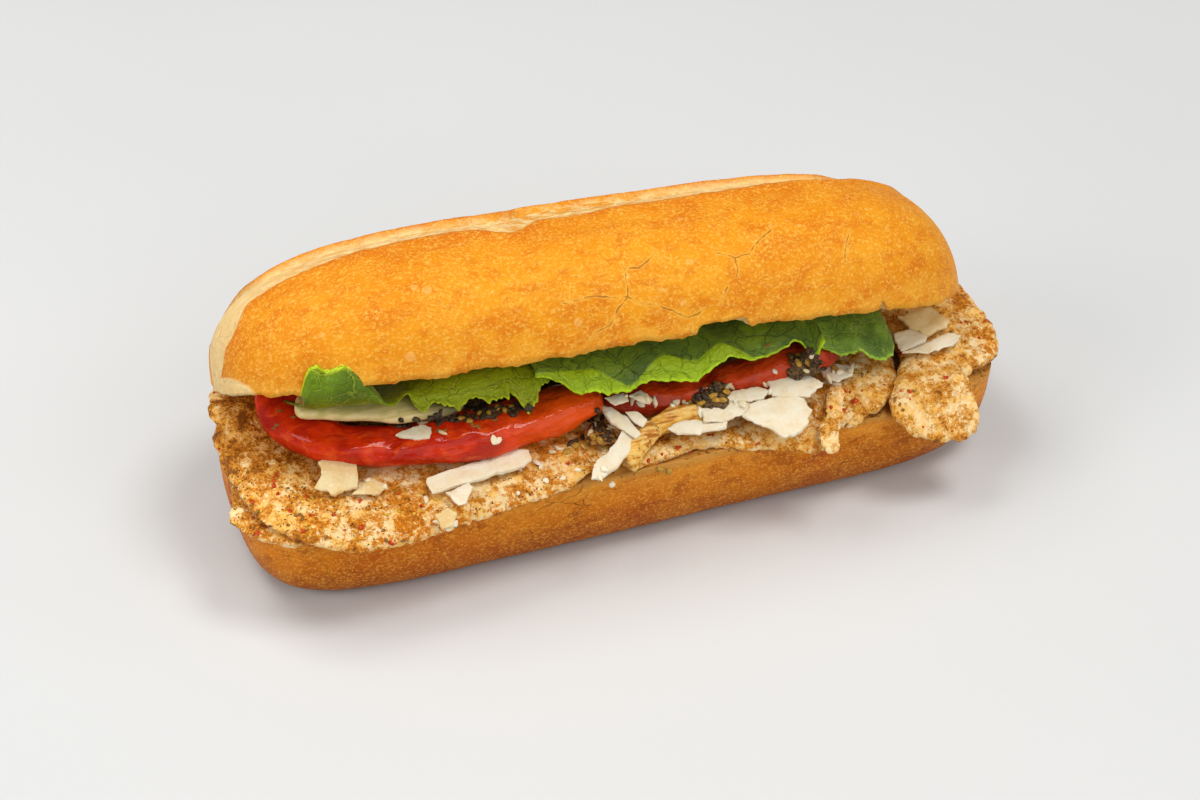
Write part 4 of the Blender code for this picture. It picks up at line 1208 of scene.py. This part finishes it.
def make_small_things():
    draw = random.Random(3)
    bpy.context.view_layer.update()
    depsgraph = bpy.context.evaluated_depsgraph_get()

    def at(points):
        return [seen(depsgraph, *p) for p in points]

    def strewn(count, weight):
        return on_chicken(depsgraph, draw, count, weight)

    olive_band = []
    for _ in range(75):
        across = draw.uniform(398, 532)
        olive_band.append((across, draw.uniform(-5.5, 4.0) + 425 - 0.125 * (across - 398)))
    gold = plain_paint("seed_gold", (0.52, 0.29, 0.035), (0.34, 0.17, 0.02), 1.0, 0.35, 0.2)
    pale = plain_paint("seed_pale", (0.74, 0.62, 0.40), (0.66, 0.50, 0.26), 1.0, 0.4, 0.15)
    mustard = plain_paint("seed_yellow", (0.70, 0.42, 0.04), (0.56, 0.28, 0.02), 0.8, 0.35, 0.1)
    red = plain_paint("chilli_flake", (0.66, 0.080, 0.008), (0.42, 0.028, 0.004), 0.7, 0.3, 0.2)
    herb = plain_paint("dried_herb", (0.36, 0.165, 0.030), (0.18, 0.080, 0.015), 0.8, 0.6, 0.2)
    black = plain_paint("ground_pepper", (0.14, 0.060, 0.016), (0.050, 0.024, 0.010), 0.5, 0.6, 0.1)
    crumb = cheese_paint("cheese_crumb", (0.88, 0.78, 0.58), (0.86, 0.68, 0.42))
    olive = plain_paint("olive_shred", (0.022, 0.014, 0.010), (0.095, 0.055, 0.024), 0.9, 0.3, 0.3)
    # Name, places, paint, then length, width and height, each one number or a range, then shape and slot.
    # All places are found before the first kind is laid.
    kinds = [
        ("seeds_gold", at(GOLD_SEEDS), gold, ((2.6, 3.3), 1.9, 1.3), {}, None),
        ("seeds_pale", at(SESAME), pale, ((2.3, 3.0), 1.4, 0.9), {}, None),
        ("seeds_yellow", strewn(40, lambda p: 0.3 + 0.7 * smoothstep(-40, -90, p.x)), mustard,
         ((0.9, 1.5), 0.9, 0.8), {}, None),
        ("chilli_flakes", at(RED_FLAKES) + strewn(16, lambda p: 0.6), red, None, {}, None),
        ("dried_herbs", at(HERB_BITS) + strewn(8, sear), herb, ((1.0, 2.4), 0.9, 0.4),
         {"uneven": 0.35}, None),
        ("ground_pepper",
         strewn(220, lambda p: (0.25 + 0.75 * sear(p)) * smoothstep(-0.15, 0.3, wobble(p, 9, 31.0))), black,
         ((0.3, 0.75), 0.4, 0.35), {"uneven": 0.3, "around": 6, "along": 4}, None),
        ("cheese_crumbs", at(CHEESE_CRUMBS), crumb, ((1.2, 3.4), (1.0, 2.0), (0.8, 1.3)),
         {"uneven": 0.45, "around": 14, "along": 10}, "cheese"),
        ("olive_shreds", at(olive_band + OLIVE_BITS), olive, ((1.6, 3.6), (1.0, 1.9), 1.2),
         {"uneven": 0.5, "around": 10, "along": 8}, "relish"),
    ]
    for name, places, paint, sizes, shape, slot in kinds:
        scatter(name, places, lambda: one_bit(draw, sizes, shape), paint, draw, slot=slot)


# Camera, light and floor


def camera_axes():
    away = Vector((math.sin(CAMERA_AZIMUTH) * math.cos(CAMERA_ELEVATION),
                   -math.cos(CAMERA_AZIMUTH) * math.cos(CAMERA_ELEVATION), math.sin(CAMERA_ELEVATION)))
    level = Vector((math.cos(CAMERA_AZIMUTH), math.sin(CAMERA_AZIMUTH), 0))
    upright = level.cross(-away)
    right = math.cos(CAMERA_ROLL) * level + math.sin(CAMERA_ROLL) * upright
    up = -math.sin(CAMERA_ROLL) * level + math.cos(CAMERA_ROLL) * upright
    return right, up, away


def picture_ray(across, down):
    """Where the camera stands, in metres, and the direction in which it sees a picture point."""
    right, up, away = camera_axes()
    ray = (across - IMAGE_WIDTH / 2) * right - (down - IMAGE_HEIGHT / 2) * up - FOCAL_PIXELS * away
    return CAMERA_TARGET + CAMERA_DISTANCE * away, ray.normalized()


def make_camera():
    right, up, away = camera_axes()
    data = bpy.data.cameras.new("camera")
    data.sensor_width = 36
    data.lens = FOCAL_PIXELS * data.sensor_width / IMAGE_WIDTH
    camera = bpy.data.objects.new("camera", data)
    turn = Matrix((right, up, away)).transposed().to_4x4()
    camera.matrix_world = Matrix.Translation(CAMERA_TARGET + CAMERA_DISTANCE * away) @ turn
    SCENE.collection.objects.link(camera)
    SCENE.camera = camera


# Studio lights: place in metres, size, power and colour
WARM = (1.0, 0.99, 0.97)
WHITE = (1.0, 1.0, 1.0)
LIGHTS = {
    "key": ((-0.50, 0.40, 1.25), 0.7, 9.5, WARM),
    "top": ((0.35, -0.25, 1.45), 0.5, 9.5, WARM),
    "fill": ((0.5, -1.85, 1.3), 2.0, 18.0, WHITE),
    "left": ((-1.3, -0.2, 0.8), 0.7, 8.0, WHITE),
    "right": ((1.35, -0.5, 0.7), 0.8, 3.5, WHITE),
}
SKY = (0.95, 0.97, 1.0, 1)
SKY_STRENGTH = 0.22
FLOOR_SIZE = 6


def area_light(name, place, size, power, colour):
    data = bpy.data.lights.new(name, "AREA")
    data.size = size
    data.energy = power
    data.color = colour
    light = bpy.data.objects.new(name, data)
    light.location = place
    light.rotation_euler = (-Vector(place)).to_track_quat("-Z", "Y").to_euler()
    SCENE.collection.objects.link(light)


def make_light_and_floor():
    for name, settings in LIGHTS.items():
        area_light(name, *settings)
    world = bpy.data.worlds.new("studio")
    world.use_nodes = True
    sky = world.node_tree.nodes["Background"].inputs
    sky["Color"].default_value = SKY
    sky["Strength"].default_value = SKY_STRENGTH
    SCENE.world = world
    bpy.ops.mesh.primitive_plane_add(size=FLOOR_SIZE)
    floor = bpy.context.object
    floor.name = "floor"
    p = Paint("floor", 0.6)
    p.set("Base Color", p.mix(p.ramp(p.noise(300, 2), 0.3, 0.7), (0.60, 0.605, 0.60), (0.62, 0.62, 0.615)))
    floor.data.materials.append(p.material)
    SCENE.view_settings.view_transform = "Standard"


def main():
    make_camera()
    make_light_and_floor()
    make_roll()
    make_chicken()
    make_peppers()
    make_relish()
    make_cheese()
    make_lettuce()
    make_small_things()


main()
